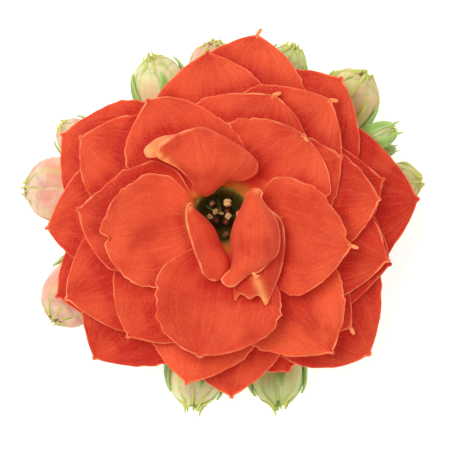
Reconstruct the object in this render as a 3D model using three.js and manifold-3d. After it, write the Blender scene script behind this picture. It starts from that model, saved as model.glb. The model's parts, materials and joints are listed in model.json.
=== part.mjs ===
// A double kalanchoe flower head, cut with a short stub of stalk and lying face up: one open
// bloom, orange-red, over a ring of closed green and pink buds.
//
// Millimetres, +Z up. The surface it lies on is z = 0, and while the pieces are made the bloom's
// axis is the Z axis. Directions round that axis are in degrees, counter-clockwise from +X.

import * as THREE from "three";
import { mergeVertices } from "three/addons/utils/BufferGeometryUtils.js";
import Module from "manifold-3d";

const wasm = await Module();
wasm.setup();

// Driving dimensions, in millimetres and degrees

const bladeThickness = 0.6;
const seatGap = 0.15; // between a piece and what carries it
const finest = 0.01; // detail smaller than this, which joining leaves where blades cross, is smoothed away
const tubeSides = 16;
const stalkSides = 12;
const rodSides = 6;

const stalk = {
  radius: 2.0,
  nodeFoot: 1.3,
  nodeHeight: 2.1,
  nodeRadius: 2.7,
  nodeTop: 3.1,
  nodeTopRadius: 2.43,
  pedicelFoot: 3.6,
  pedicelRadius: 1.35,
  top: 4.3,
};
const branch = { radius: 0.95, rootRadius: 1, rootHeight: 2.2, forkRadius: 4.7 };
const bract = {
  spread: 24, // degrees from its branch to each side
  rootRadius: 3.525,
  length: 1.9,
  below: 0.6, // under the branch's axis at its root
  drop: 0.25, // and this much more at its tip
  rootHalf: 0.8,
  tipHalf: 0.2,
};
const budStalk = {
  radius: 0.6,
  rootSwell: 1.15,
  start: 0.8, // where it leaves its branch, as a share of the fork's radius
  straight: 0.9, // how much of it below the bud follows the bud's axis
  leastHeight: 0.7,
};

const calyx = { foot: stalk.top + seatGap, discHeight: 0.7, discRadius: 2.4, sepalRoot: 0.294 };
// A sepal of the bloom from root to tip: radius, height over its root and half width
const calyxSepal = [
  { out: 1.98, up: 0, half: 1.0 },
  { out: 2.63, up: 1.2672, half: 1.1 },
  { out: 3.0, up: 2.7456, half: 0.8 },
  { out: 3.75, up: 4.224, half: 0.15 },
];
const tube = {
  foot: calyx.foot + calyx.discHeight + seatGap,
  footRadius: 1.7,
  bellyHeight: 7.0,
  bellyRadius: 2.35,
  rimFoot: 10.7, // where the tube has its full width
  rimHeight: 13.7,
  rimRadius: 2.85,
};
const throat = { floor: 8.5, floorRadius: 1.35, mouthHeight: 14.2, mouthRadius: 1.9 };

// The petals lie in a shallow fan. A petal's level is its place in the stack, from 0 for the
// lowest to 8: each level starts higher in the tube, stands steeper and droops more.
const fan = {
  rootRadius: 2.35,
  seat: 9.4,
  rise: 0.5,
  tilt: 8,
  tiltPerLevel: 3,
  droop: 0.02,
  droopPerLevel: 0.0019,
  cup: 0.24,
};
const petalSteps = { along: 6, across: 4 };
const leastHalfWidth = 0.28; // at the very tip
const usualShape = { belly: 0.62, blunt: 0.8 };

// One row for each plain petal: its direction, reach from the axis, half widths on its
// counter-clockwise (left) and clockwise (right) side, and level. A side's belly is where along
// the petal it is widest, and its blunt is 1 for a pointed end, less for a rounder one.
const petals = [
  { at: 5, reach: 14.8, left: 6.0, right: 5.4, level: 0 },
  { at: 206, reach: 13.8, left: 4.5, right: 4.2, level: 0 },
  { at: 293, reach: 12.9, left: 3.2, right: 3.2, level: 0 },
  { at: 317, reach: 15.2, left: 5.8, right: 4.9, level: 0.2, rightBlunt: 0.6 },
  { at: 153, reach: 13.5, left: 5.6, right: 5.2, level: 0.3 },
  { at: 228, reach: 14.4, left: 5.0, right: 4.8, level: 0.4 },
  { at: 49, reach: 13.7, left: 5.2, right: 5.2, level: 0.9 },
  { at: 184, reach: 13.2, left: 4.2, right: 5.0, level: 1.2, leftBlunt: 0.9 },
  { at: 273, reach: 13.6, left: 4.5, right: 3.8, level: 1.2 },
  { at: 344, reach: 13.1, left: 4.6, right: 5.4, level: 1.2 },
  { at: 319, reach: 12.8, left: 3.0, right: 3.0, level: 1.4 },
  { at: 79, reach: 13.9, left: 5.0, right: 5.1, level: 1.6 },
  { at: 13, reach: 12.4, left: 4.0, right: 5.0, level: 1.6, leftBlunt: 1 },
  { at: 208, reach: 13.2, left: 5.2, right: 3.8, level: 2 },
  { at: 345, reach: 12.8, left: 4.6, right: 4.4, level: 2.2 },
  { at: 151, reach: 12.1, left: 4.2, right: 4.2, level: 2.4 },
  { at: 258, reach: 12.8, left: 4.7, right: 4.0, level: 2.4 },
  { at: 95, reach: 12.3, left: 4.6, right: 4.6, level: 2.6 },
  { at: 47, reach: 12.2, left: 5.2, right: 4.2, level: 2.8 },
  { at: 309, reach: 13.1, left: 4.1, right: 4.3, level: 3.2 },
  { at: 6, reach: 11.8, left: 4.5, right: 3.7, level: 3.2, leftBlunt: 0.7 },
  { at: 232, reach: 11.4, left: 4.6, right: 4.1, level: 3.4 },
  { at: 26, reach: 9.9, left: 3.6, right: 3.4, level: 3.7 },
  { at: 66, reach: 10.1, left: 5.3, right: 4.2, level: 4.0, rightBlunt: 0.6 },
  { at: 36, reach: 8.9, left: 5.0, right: 3.4, level: 4.4, leftBlunt: 0.7,
    rightBelly: 0.7, rightBlunt: 0.45 },
  { at: 123, reach: 10.2, left: 4.2, right: 4.3, level: 4.8, rightBelly: 0.38, rightBlunt: 0.5 },
  { at: 177, reach: 10.7, left: 4.8, right: 3.7, level: 5.2, leftBlunt: 0.6,
    rightBelly: 0.5, rightBlunt: 1 },
  { at: 347, reach: 9.9, left: 4.0, right: 4.6, level: 5.4, leftBelly: 0.47 },
  { at: 187, reach: 9.0, left: 4.7, right: 3.7, level: 5.8, leftBlunt: 0.5,
    rightBelly: 0.53, rightBlunt: 0.6 },
  { at: 261, reach: 10.5, left: 5.5, right: 4.1, level: 6.3, leftBlunt: 0.6,
    rightBelly: 0.6, rightBlunt: 0.5 },
];

// The four innermost petals are folded over the throat. Each is a net of places (x, y, z) from
// its root to its tip, on its left margin, along its middle and on its right margin, and has a
// claw that stands on the tube's rim, from a foot to a head.
const foldedPetals = [
  {
    name: "back, shaped like a wing",
    left: [[-1.35, 1.7, 13.9], [-2.6, 2.8, 15.0], [-4.05, 4.1, 15.8], [-5.8, 4.8, 16.0]],
    middle: [
      [-0.75, 1.95, 13.9], [-1.05, 3.45, 15.8], [-1.65, 4.95, 16.6],
      [-2.05, 6.65, 16.3],
    ],
    right: [[0.0, 2.4, 13.9], [1.15, 2.65, 15.3], [2.25, 2.85, 15.3], [2.65, 4.05, 14.9]],
    claw: { foot: [-0.8, 2.15, 12.6], head: [-0.85, 2.6, 14.9], radius: 0.75 },
  },
  {
    name: "right, behind the front one, with a toothed end",
    left: [
      [2.1, 0.8, 13.8], [3.6, 0.3, 14.6], [4.6, -1.2, 14.4],
      [4.65, -3.15, 14.5], [3.65, -5.7, 14.9],
    ],
    middle: [
      [1.75, 0.0, 13.6], [2.7, -1.45, 15.1], [3.0, -2.95, 15.4],
      [2.85, -4.45, 15.4], [2.45, -6.05, 15.5],
    ],
    right: [
      [1.4, -1.2, 13.6], [1.2, -2.55, 14.6], [0.85, -3.9, 14.9],
      [0.7, -5.1, 15.1], [1.0, -6.2, 15.2],
    ],
    claw: { foot: [1.9, -1.4, 12.6], head: [2.3, -1.6, 14.8], radius: 0.75 },
  },
  {
    name: "left, a small strap",
    left: [
      [-2.1, 0.65, 14.4], [-1.35, 0.0, 13.9], [-0.5, -1.2, 13.8],
      [0.3, -2.75, 14.2], [0.5, -3.9, 14.9], [-0.1, -4.8, 15.1],
    ],
    middle: [
      [-2.3, 0.65, 14.5], [-2.0, -0.3, 14.8], [-1.4, -1.5, 15.2],
      [-0.7, -2.9, 15.4], [-0.4, -4.05, 15.4], [-0.6, -4.95, 15.1],
    ],
    right: [
      [-2.55, 0.55, 14.5], [-2.7, -0.3, 14.6], [-2.4, -1.35, 14.9],
      [-1.9, -2.85, 15.1], [-1.45, -4.2, 15.2], [-1.1, -4.75, 15.1],
    ],
    claw: { foot: [-2.25, -0.75, 12.6], head: [-1.9, -0.8, 15.0], radius: 0.7 },
  },
  {
    name: "front, humped over the throat",
    left: [
      [3.0, 1.75, 15.5], [3.55, 0.6, 15.8], [4.2, -0.9, 15.9],
      [4.25, -2.4, 16.0], [3.45, -3.75, 16.1], [1.8, -4.65, 16.1],
    ],
    middle: [
      [2.55, 2.1, 15.8], [2.65, 0.75, 16.8], [2.8, -0.75, 17.3],
      [2.7, -2.4, 17.2], [2.1, -3.9, 16.8], [1.2, -5.2, 16.2],
    ],
    right: [
      [2.1, 1.9, 15.2], [1.6, 0.8, 14.8], [0.85, -0.6, 14.5],
      [0.7, -2.4, 14.7], [0.75, -3.7, 15.3], [0.3, -4.95, 15.8],
    ],
    claw: { foot: [2.3, -0.1, 12.6], head: [2.1, 0.1, 15.7], radius: 0.85 },
  },
];

// Places (x, y) of the anthers' and the styles' tops, and their heights
const anthers = [
  [0.4, 1.0, 13.3], [-0.5, 0.35, 13.0], [0.05, 0.25, 12.7], [0.5, -0.05, 13.1],
  [-1.0, -0.05, 13.2], [1.05, 0.5, 12.5], [0.85, -0.75, 12.4], [-0.25, -0.6, 12.2],
];
const styles = [[0.4, 0.35, 11.5], [-0.35, 0.45, 11.6], [-0.45, -0.35, 11.6], [0.3, -0.45, 11.5]];
const carpel = {
  bodyRadius: 0.5,
  bodyRing: 0.5,
  bodyHeight: 1.9,
  shoulderRadius: 0.28,
  styleFootRadius: 0.26,
  styleRadius: 0.2,
  styleSunk: 0.3, // how far a style's foot stands in its carpel
  styleBend: 0.8, // how far out a style's middle is, as a share of its top's
};
const stamen = {
  collarRadius: 1.4,
  collarBore: 1.1,
  collarFoot: 10.9,
  collarHeight: 0.4,
  filamentRadius: 0.13,
  antherRadius: 0.27,
  antherLength: 0.6,
  antherSwell: [0.45, 1, 0.85, 0.3], // from foot to top, as shares of the radius
};

// One row for each bud: where its apex lies, the direction and the climb of its axis, and its
// length and thickness. A low bud rests on the surface, so its height is worked out.
const buds = [
  {
    name: "left", apex: [-15.1, 2.2], toward: 177, climb: 12,
    length: 7.4, thick: 4.7, roll: 0, low: true, kind: "pink", fork: "left",
  },
  {
    name: "left_top", apex: [-12.2, 6.95, 7.15], toward: 138, climb: 14,
    length: 4.4, thick: 2.7, roll: 0, kind: "pink", fork: "left",
  },
  {
    name: "lower_left", apex: [-12.9, -7.9, 5.9], toward: 232, climb: 24,
    length: 7.0, thick: 4.3, kind: "pink", fork: "left",
  },
  {
    name: "upper_left", apex: [-5.4, 12.0, 7.2], toward: 108, climb: 25,
    length: 6.2, thick: 3.7, kind: "cream", fork: "top",
  },
  {
    name: "top", apex: [-0.6, 13.3, 5.3], toward: 92, climb: 24,
    length: 6.3, thick: 3.85, kind: "pink", fork: "top",
  },
  {
    name: "top_right", apex: [5.4, 12.9, 6.8], toward: 72, climb: 26,
    length: 5.6, thick: 3.0, kind: "green", fork: "top",
  },
  {
    name: "right_top", apex: [10.9, 10.8], toward: 58, climb: 30,
    length: 7.0, thick: 4.1, low: true, kind: "pink", fork: "right",
  },
  {
    name: "right_young", apex: [13.1, 6.6, 7.6], toward: 21, climb: 20,
    length: 3.9, thick: 1.7, kind: "green", fork: "right",
  },
  {
    name: "right_tiny", apex: [13.2, 5.15, 5.35], toward: 14, climb: 15,
    length: 2.3, thick: 0.8, kind: "green", fork: "right",
  },
  {
    name: "right", apex: [15.2, 2.7, 3.6], toward: 7, climb: 15,
    length: 6.3, thick: 3.1, kind: "cream", fork: "right",
  },
  {
    name: "lower_right", apex: [9.6, -7.6, 5.4], toward: 322, climb: 16,
    length: 5.8, thick: 3.3, kind: "green", fork: "bottom",
  },
  {
    name: "bottom", apex: [4.4, -14.3], toward: 277, climb: 20,
    length: 6.9, thick: 4.0, low: true, kind: "green", fork: "bottom",
  },
  {
    name: "bottom_left", apex: [-2.2, -14.3, 6.0], toward: 265, climb: 22,
    length: 6.8, thick: 4.1, kind: "cream", fork: "bottom",
  },
];
const forks = {
  left: { toward: 176, height: 2.4 },
  top: { toward: 94, height: 2.6 },
  right: { toward: 22, height: 2.6 },
  bottom: { toward: 280, height: 2.3 },
};
const budSides = 12;
const budOverlap = 0.05; // how far one bud petal's edge stands over the next, as a share of the radius
const budBelly = 0.58; // where along a bud it is widest
const budFoot = { taper: 0.48, power: 2.2 }; // how an egg narrows from its belly to its foot
const budEnd = { share: 1.01, power: 2.4 }; // and to its blunt end
const budTwist = 50; // degrees that the overlapping edges turn from foot to apex
const budShares = [0.04, 0.28, 0.58, 0.82, 0.95]; // a bud's rings, as shares of its length
const smallBudShares = [0.04, 0.5, 0.82, 0.96];
const smallBud = 2; // a bud thinner than this has no points
const fullBud = 2.6; // and one thinner than this has thinner sepals and a thinner stalk
// The small points that stand round a bud's end: where they start, as shares of the length and of
// the radius there, how far in they end, the degrees that they lean, and their own radii
const budPoint = { foot: 0.86, footRing: 0.8, headRing: 0.3, lean: 20, radius: 0.3, tipRadius: 0.1 };
const budPointRadiusAt = 0.92; // the ring that gives the radius they start from
const sepal = { clearance: 0.15, halfAngle: 20, share: 0.86, thickness: 0.6 };
// A bud's sepal from root to tip: its place along the sepal and the share of its half angle
const sepalSteps = [
  { step: -0.03, wide: 1 },
  { step: 0.3, wide: 1 },
  { step: 0.68, wide: 0.75 },
  { step: 1, wide: 0.12 },
];
const budCup = { foot: -0.09, rim: 0.02, footRing: 0.6, rimRing: 0.95, sides: 8 };
const usualRoll = 45; // degrees from straight up to a bud's first sepal
const restFlat = 0.06; // depth of the flat spot where a low bud's sepals touch the surface
const slab = { side: 40, depth: 2 }; // what cuts that spot

const colours = {
  petal: 0xe4532f,
  stalk: 0x8fae5a,
  calyx: 0x9cc25c,
  carpel: 0x7a3b22,
  anther: 0xf0c58a,
  pink: 0xe9b7a4,
  cream: 0xdfe0ad,
  green: 0xb9cf86,
};

// Small helpers

const radians = THREE.MathUtils.degToRad;
const lerp = THREE.MathUtils.lerp;

function polar(degrees, radius = 1, z = 0) {
  return new THREE.Vector3(radius * Math.cos(radians(degrees)), radius * Math.sin(radians(degrees)), z);
}

// A closed mesh, given as points and triangles, as a solid that can be joined and cut
function toSolid(points, triangles) {
  const geometry = new THREE.BufferGeometry().setFromPoints(points);
  geometry.setIndex(triangles.flat());
  const merged = mergeVertices(geometry, 1e-5);
  return new wasm.Manifold(
    new wasm.Mesh({
      numProp: 3,
      vertProperties: new Float32Array(merged.attributes.position.array),
      triVerts: new Uint32Array(merged.index.array),
    }),
  );
}

function toGeometry(solid) {
  const { vertProperties, triVerts } = solid.getMesh();
  const geometry = new THREE.BufferGeometry();
  geometry.setAttribute("position", new THREE.BufferAttribute(vertProperties, 3));
  geometry.setIndex(new THREE.BufferAttribute(triVerts, 1));
  return geometry;
}

function join(solids) {
  return solids.reduce((whole, solid) => whole.add(solid)).simplify(finest);
}

// A joined body without the small hollows that its pieces sealed between them
function filled(solid) {
  return solid.decompose().reduce((largest, shell) => (shell.volume() > largest.volume() ? shell : largest));
}

// A body through a row of rings with the same number of points each. A ring turns
// counter-clockwise as seen from where the row is going, and both ends are closed.
function loft(rings) {
  const sides = rings[0].length;
  const points = rings.flat();
  const triangles = [];
  for (let i = 0; i + 1 < rings.length; i += 1) {
    for (let k = 0; k < sides; k += 1) {
      const a = i * sides + k;
      const b = i * sides + ((k + 1) % sides);
      triangles.push([a, b, b + sides], [a, b + sides, a + sides]);
    }
  }
  for (const [ring, first, flip] of [
    [rings[0], 0, true],
    [rings[rings.length - 1], (rings.length - 1) * sides, false],
  ]) {
    const middle = points.length;
    const centre = new THREE.Vector3();
    for (const point of ring) centre.add(point);
    points.push(centre.divideScalar(sides));
    for (let k = 0; k < sides; k += 1) {
      const a = first + k;
      const b = first + ((k + 1) % sides);
      triangles.push(flip ? [b, a, middle] : [a, b, middle]);
    }
  }
  return toSolid(points, triangles);
}

// A level ring round the Z axis
function levelRing(radius, z, sides) {
  return Array.from({ length: sides }, (_, k) => polar((360 * k) / sides, radius, z));
}

// A round rod along a curve through the given places, with a radius at its foot and at its head
function rod(places, footRadius, headRadius, steps, sides) {
  const curve = new THREE.CatmullRomCurve3(places);
  const frames = curve.computeFrenetFrames(steps, false);
  const rings = [];
  for (let i = 0; i <= steps; i += 1) {
    const centre = curve.getPointAt(i / steps);
    const radius = lerp(footRadius, headRadius, i / steps);
    rings.push(
      Array.from({ length: sides }, (_, k) => {
        const turn = (2 * Math.PI * k) / sides;
        return centre
          .clone()
          .addScaledVector(frames.normals[i], radius * Math.cos(turn))
          .addScaledVector(frames.binormals[i], radius * Math.sin(turn));
      }),
    );
  }
  return loft(rings);
}

// A blade of even thickness over a net of points: rows run from root to tip, and a row runs from
// the right margin to the left one. The net is the under face, and both faces are split alike.
function blade(net, thickness) {
  const rows = net.length;
  const columns = net[0].length;
  const at = (i, j) => net[Math.min(Math.max(i, 0), rows - 1)][Math.min(Math.max(j, 0), columns - 1)];
  const points = net.flat();
  const upper = points.length;
  for (let i = 0; i < rows; i += 1) {
    for (let j = 0; j < columns; j += 1) {
      const along = at(i + 1, j).clone().sub(at(i - 1, j));
      const across = at(i, j + 1).clone().sub(at(i, j - 1));
      const normal = along.cross(across).normalize();
      points.push(at(i, j).clone().addScaledVector(normal, thickness));
    }
  }
  const triangles = [];
  for (let i = 0; i + 1 < rows; i += 1) {
    for (let j = 0; j + 1 < columns; j += 1) {
      const a = i * columns + j;
      const b = a + columns;
      triangles.push([a, b + 1, b], [a, a + 1, b + 1]);
      triangles.push([a + upper, b + upper, b + 1 + upper], [a + upper, b + 1 + upper, a + 1 + upper]);
    }
  }
  const rim = [];
  for (let i = 0; i < rows - 1; i += 1) rim.push(i * columns);
  for (let j = 0; j < columns - 1; j += 1) rim.push((rows - 1) * columns + j);
  for (let i = rows - 1; i > 0; i -= 1) rim.push(i * columns + columns - 1);
  for (let j = columns - 1; j > 0; j -= 1) rim.push(j);
  rim.forEach((a, k) => {
    const b = rim[(k + 1) % rim.length];
    triangles.push([a, b, b + upper], [a, b + upper, a + upper]);
  });
  return toSolid(points, triangles);
}

// The bloom's corolla: tube, claws and all its petals, grown as one piece

function halfWidth(width, belly, blunt, share) {
  const swell = Math.sin(Math.PI * share ** (Math.log(0.5) / Math.log(belly)));
  return Math.max(width * Math.max(swell, 0) ** blunt, leastHalfWidth);
}

function fanHeight(level, radius) {
  const out = radius - fan.rootRadius;
  const slope = Math.tan(radians(fan.tilt + fan.tiltPerLevel * level));
  return fan.seat + fan.rise * level + slope * out - (fan.droop + fan.droopPerLevel * level) * out * out;
}

function petalNet(petal) {
  const { left, right, leftBelly, rightBelly, leftBlunt, rightBlunt } = petal;
  const along = polar(petal.at);
  const across = polar(petal.at + 90);
  const rootShare = fan.rootRadius / petal.reach;
  const net = [];
  for (let i = 0; i <= petalSteps.along; i += 1) {
    const share = lerp(rootShare, 1, Math.sin((i / petalSteps.along) * (Math.PI / 2)));
    const row = [];
    for (let j = 0; j <= petalSteps.across; j += 1) {
      const side = (2 * j) / petalSteps.across - 1;
      const half = side > 0
        ? halfWidth(left, leftBelly ?? usualShape.belly, leftBlunt ?? usualShape.blunt, share)
        : halfWidth(right, rightBelly ?? usualShape.belly, rightBlunt ?? usualShape.blunt, share);
      const point = along.clone().multiplyScalar(share * petal.reach).addScaledVector(across, side * half);
      point.z = fanHeight(petal.level, Math.hypot(point.x, point.y)) + fan.cup * side * side * share;
      row.push(point);
    }
    net.push(row);
  }
  return net;
}

// A folded petal's net: smooth curves along its margins and middle, and an arch across them
function foldedNet(petal) {
  const curves = [petal.right, petal.middle, petal.left].map(
    (places) => new THREE.CatmullRomCurve3(places.map((place) => new THREE.Vector3(...place))),
  );
  const net = [];
  for (let i = 0; i <= petalSteps.along; i += 1) {
    const [right, middle, left] = curves.map((curve) => curve.getPoint(i / petalSteps.along));
    const row = [];
    for (let j = 0; j <= petalSteps.across; j += 1) {
      const side = (2 * j) / petalSteps.across - 1;
      row.push(
        new THREE.Vector3()
          .addScaledVector(right, (side * (side - 1)) / 2)
          .addScaledVector(middle, 1 - side * side)
          .addScaledVector(left, (side * (side + 1)) / 2),
      );
    }
    net.push(row);
  }
  return net;
}

function corollaTube() {
  return loft([
    levelRing(tube.footRadius, tube.foot, tubeSides),
    levelRing(tube.bellyRadius, tube.bellyHeight, tubeSides),
    levelRing(tube.rimRadius, tube.rimFoot, tubeSides),
    levelRing(tube.rimRadius, tube.rimHeight, tubeSides),
    levelRing(throat.mouthRadius, throat.mouthHeight, tubeSides),
    levelRing(throat.floorRadius, throat.floor, tubeSides),
  ]);
}

function corolla() {
  const pieces = [corollaTube()];
  for (const petal of petals) pieces.push(blade(petalNet(petal), bladeThickness));
  for (const petal of foldedPetals) {
    const { foot, head, radius } = petal.claw;
    pieces.push(blade(foldedNet(petal), bladeThickness));
    pieces.push(rod([foot, head].map((place) => new THREE.Vector3(...place)), radius, radius, 1, rodSides));
  }
  return join(pieces);
}

// The throat: four carpels joined at their foot, and eight stamens on a thin collar

function carpels() {
  const foot = throat.floor + seatGap;
  return join(
    styles.map(([x, y, top], k) => {
      const bottom = polar(45 + 90 * k, carpel.bodyRing, foot);
      const shoulder = polar(45 + 90 * k, carpel.bodyRing, foot + carpel.bodyHeight);
      return join([
        rod([bottom, shoulder], carpel.bodyRadius, carpel.shoulderRadius, 2, rodSides),
        rod(
          [
            shoulder.clone().setZ(shoulder.z - carpel.styleSunk),
            new THREE.Vector3(x * carpel.styleBend, y * carpel.styleBend, (shoulder.z + top) / 2),
            new THREE.Vector3(x, y, top),
          ],
          carpel.styleFootRadius,
          carpel.styleRadius,
          3,
          rodSides,
        ),
      ]);
    }),
  );
}

function stamens() {
  const { collarRadius, collarBore, collarFoot, collarHeight, filamentRadius } = stamen;
  const { antherRadius, antherLength, antherSwell } = stamen;
  const disc = (radius, low, high) =>
    loft([levelRing(radius, low, tubeSides), levelRing(radius, high, tubeSides)]);
  const collar = disc(collarRadius, collarFoot, collarFoot + collarHeight)
    .subtract(disc(collarBore, collarFoot - 1, collarFoot + collarHeight + 1));
  const middle = (collarRadius + collarBore) / 2;
  return join([
    collar,
    ...anthers.map(([x, y, top]) => {
      const toward = THREE.MathUtils.radToDeg(Math.atan2(y, x));
      const foot = polar(toward, middle, collarFoot + collarHeight / 2);
      const head = new THREE.Vector3(x, y, top);
      const filament = rod([foot, head], filamentRadius, filamentRadius, 1, 4);
      const anther = loft(
        antherSwell.map((swell, k) => {
          const z = top - antherLength / 2 + (antherLength * k) / (antherSwell.length - 1);
          const ring = levelRing(antherRadius * swell, z, rodSides);
          return ring.map((point) => point.add(new THREE.Vector3(x, y, 0)));
        }),
      );
      return filament.add(anther);
    }),
  ]);
}

// Buds. A bud has a frame: its foot, its axis, and two directions across the axis.

function budFrame(bud) {
  const axis = polar(bud.toward, Math.cos(radians(bud.climb)), Math.sin(radians(bud.climb)));
  const side = axis.clone().cross(new THREE.Vector3(0, 0, 1)).normalize();
  const up = side.clone().cross(axis);
  const apex = new THREE.Vector3(bud.apex[0], bud.apex[1], bud.apex[2] ?? 0);
  const foot = apex.clone().addScaledVector(axis, -bud.length);
  return { axis, side, up, foot, radius: bud.thick / 2, length: bud.length };
}

function budScale(bud) {
  return Math.min(1, bud.thick / fullBud);
}

// An egg with its blunt end at the apex
function budRadius(frame, share) {
  if (share < budBelly) {
    return frame.radius * (1 - budFoot.taper * ((budBelly - share) / budBelly) ** budFoot.power);
  }
  return frame.radius * Math.sqrt(1 - ((share - budBelly) / (budEnd.share - budBelly)) ** budEnd.power);
}

function budPlace(frame, share, degrees, radius) {
  return frame.foot
    .clone()
    .addScaledVector(frame.axis, share * frame.length)
    .addScaledVector(frame.up, radius * Math.cos(radians(degrees)))
    .addScaledVector(frame.side, radius * Math.sin(radians(degrees)));
}

// The closed petals: round each ring the radius rises over three points and drops again, four
// times, where one petal's edge lies over the next
function budPetals(bud, frame) {
  const shares = bud.thick < smallBud ? smallBudShares : budShares;
  const rings = shares.map((share) =>
    Array.from({ length: budSides }, (_, k) => {
      const lap = ((k + 0.5) % 3) / 3 - 0.5;
      const radius = budRadius(frame, share) * (1 + 2 * budOverlap * lap);
      return budPlace(frame, share, (360 * k) / budSides + budTwist * share, radius);
    }),
  );
  const pieces = [loft(rings)];
  if (bud.thick >= smallBud) {
    for (const quarter of [0, 90, 180, 270]) {
      const degrees = quarter + 45 + budTwist;
      const footRadius = budRadius(frame, budPointRadiusAt) * budPoint.footRing;
      const foot = budPlace(frame, budPoint.foot, degrees, footRadius);
      const head = budPlace(frame, 1, degrees + budPoint.lean, frame.radius * budPoint.headRing);
      pieces.push(rod([foot, head], budPoint.radius, budPoint.tipRadius, 1, 3));
    }
  }
  return join(pieces);
}

function budSepals(bud, frame) {
  const thickness = sepal.thickness * budScale(bud);
  const roll = bud.roll ?? usualRoll;
  const cupRadius = budRadius(frame, budCup.rim) + sepal.clearance + thickness;
  const cupRing = (share, size) =>
    Array.from({ length: budCup.sides }, (_, k) =>
      budPlace(frame, share, roll + (360 * k) / budCup.sides, cupRadius * size));
  const pieces = [loft([cupRing(budCup.foot, budCup.footRing), cupRing(budCup.rim, budCup.rimRing)])];
  for (const quarter of [0, 90, 180, 270]) {
    const net = sepalSteps.map(({ step, wide }) => {
      const share = step * sepal.share;
      const turn = sepal.halfAngle * wide;
      const clear = budRadius(frame, Math.max(share, budCup.rim)) * (1 + budOverlap) + sepal.clearance;
      const out = clear / Math.cos(radians(turn));
      return [1, -1].map((side) => budPlace(frame, share, roll + quarter + side * turn, out));
    });
    pieces.push(blade(net, thickness));
  }
  return join(pieces);
}

function lowest(solid) {
  return solid.boundingBox().min[2];
}

// A slab just under the surface
function underSlab() {
  const box = new THREE.BoxGeometry(slab.side, slab.side, slab.depth).translate(0, 0, -slab.depth / 2);
  box.deleteAttribute("normal");
  box.deleteAttribute("uv");
  const merged = mergeVertices(box);
  const corners = Array.from({ length: merged.attributes.position.count }, (_, k) =>
    new THREE.Vector3().fromBufferAttribute(merged.attributes.position, k));
  const faces = [];
  for (let k = 0; k < merged.index.count; k += 3) faces.push(Array.from(merged.index.array.slice(k, k + 3)));
  return toSolid(corners, faces);
}

// Each bud's frame, petals and calyx. A low bud is lowered until its sepals press on the surface.
function makeBud(bud) {
  const frame = budFrame(bud);
  if (bud.low) {
    const drop = lowest(budSepals(bud, frame)) + restFlat;
    frame.foot.z -= drop;
  }
  let sepals = budSepals(bud, frame);
  if (bud.low) {
    sepals = sepals.subtract(underSlab());
  }
  return { bud, frame, petals: budPetals(bud, frame), sepals };
}

// The stalk: stub, node, the bloom's own stalk, four branches and a stalk for each bud

function stalkBody(made) {
  const pieces = [
    loft([
      levelRing(stalk.radius, 0, stalkSides),
      levelRing(stalk.radius, stalk.nodeFoot, stalkSides),
      levelRing(stalk.nodeRadius, stalk.nodeHeight, stalkSides),
      levelRing(stalk.nodeTopRadius, stalk.nodeTop, stalkSides),
      levelRing(stalk.pedicelRadius, stalk.pedicelFoot, stalkSides),
      levelRing(stalk.pedicelRadius, stalk.top, stalkSides),
    ]),
  ];
  for (const fork of Object.values(forks)) {
    pieces.push(rod([
      polar(fork.toward, branch.rootRadius, branch.rootHeight),
      polar(fork.toward, branch.forkRadius * 0.6, fork.height),
      polar(fork.toward, branch.forkRadius, fork.height),
    ], branch.radius, branch.radius, 3, rodSides));
    for (const side of [-1, 1]) {
      const toward = fork.toward + side * bract.spread;
      const net = [[0, bract.rootHalf], [1, bract.tipHalf]].map(([share, half]) => {
        const height = fork.height - bract.below - bract.drop * share;
        const middle = polar(toward, bract.rootRadius + bract.length * share, height);
        return [-1, 1].map((across) => middle.clone().addScaledVector(polar(toward + 90), across * half));
      });
      pieces.push(blade(net, bladeThickness));
    }
  }
  for (const { bud, frame } of made) {
    const fork = forks[bud.fork];
    const scale = budScale(bud);
    const head = frame.foot.clone().addScaledVector(frame.axis, budCup.foot * frame.length - seatGap);
    const start = polar(fork.toward, branch.forkRadius * budStalk.start, fork.height);
    const before = head.clone().addScaledVector(frame.axis, -budStalk.straight * scale);
    before.z = Math.max(before.z, budStalk.leastHeight);
    const headRadius = budStalk.radius * (0.5 + 0.5 * scale);
    pieces.push(rod([start, before, head], budStalk.radius * budStalk.rootSwell, headRadius, 4, rodSides));
  }
  return join(pieces);
}

function bloomCalyx() {
  const { foot, discHeight, discRadius, sepalRoot } = calyx;
  const pieces = [
    loft([
      levelRing(stalk.pedicelRadius, foot, stalkSides),
      levelRing(discRadius, foot + discHeight * 0.6, stalkSides),
      levelRing(discRadius, foot + discHeight, stalkSides),
    ]),
  ];
  for (const degrees of [45, 135, 225, 315]) {
    const net = calyxSepal.map(({ out, up, half }) =>
      [1, 0, -1].map((across) =>
        polar(degrees, out, foot + sepalRoot + up).addScaledVector(polar(degrees + 90), across * half)));
    pieces.push(blade(net, bladeThickness));
  }
  return join(pieces);
}

// The whole flower head

const head = new THREE.Group();

function place(name, solid, colour, roughness) {
  const mesh = new THREE.Mesh(
    toGeometry(solid),
    new THREE.MeshStandardMaterial({ color: colour, roughness, metalness: 0 }),
  );
  mesh.name = name;
  head.add(mesh);
}

const madeBuds = buds.map(makeBud);
place("stalk", stalkBody(madeBuds), colours.stalk, 0.6);
place("bloom_calyx", bloomCalyx(), colours.calyx, 0.55);
place("bloom_corolla", filled(corolla()), colours.petal, 0.55);
place("bloom_carpels", carpels(), colours.carpel, 0.5);
place("bloom_stamens", stamens(), colours.anther, 0.7);
for (const { bud, petals: closed, sepals } of madeBuds) {
  place(`bud_${bud.name}_petals`, closed, colours[bud.kind], 0.5);
  place(`bud_${bud.name}_calyx`, sepals, colours.calyx, 0.55);
}

// The part's origin is under the middle of its box, on the surface it lies on
const box = new THREE.Box3().setFromObject(head);
const middle = box.getCenter(new THREE.Vector3());
head.position.set(-middle.x, -middle.y, 0);

export default head;
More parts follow.
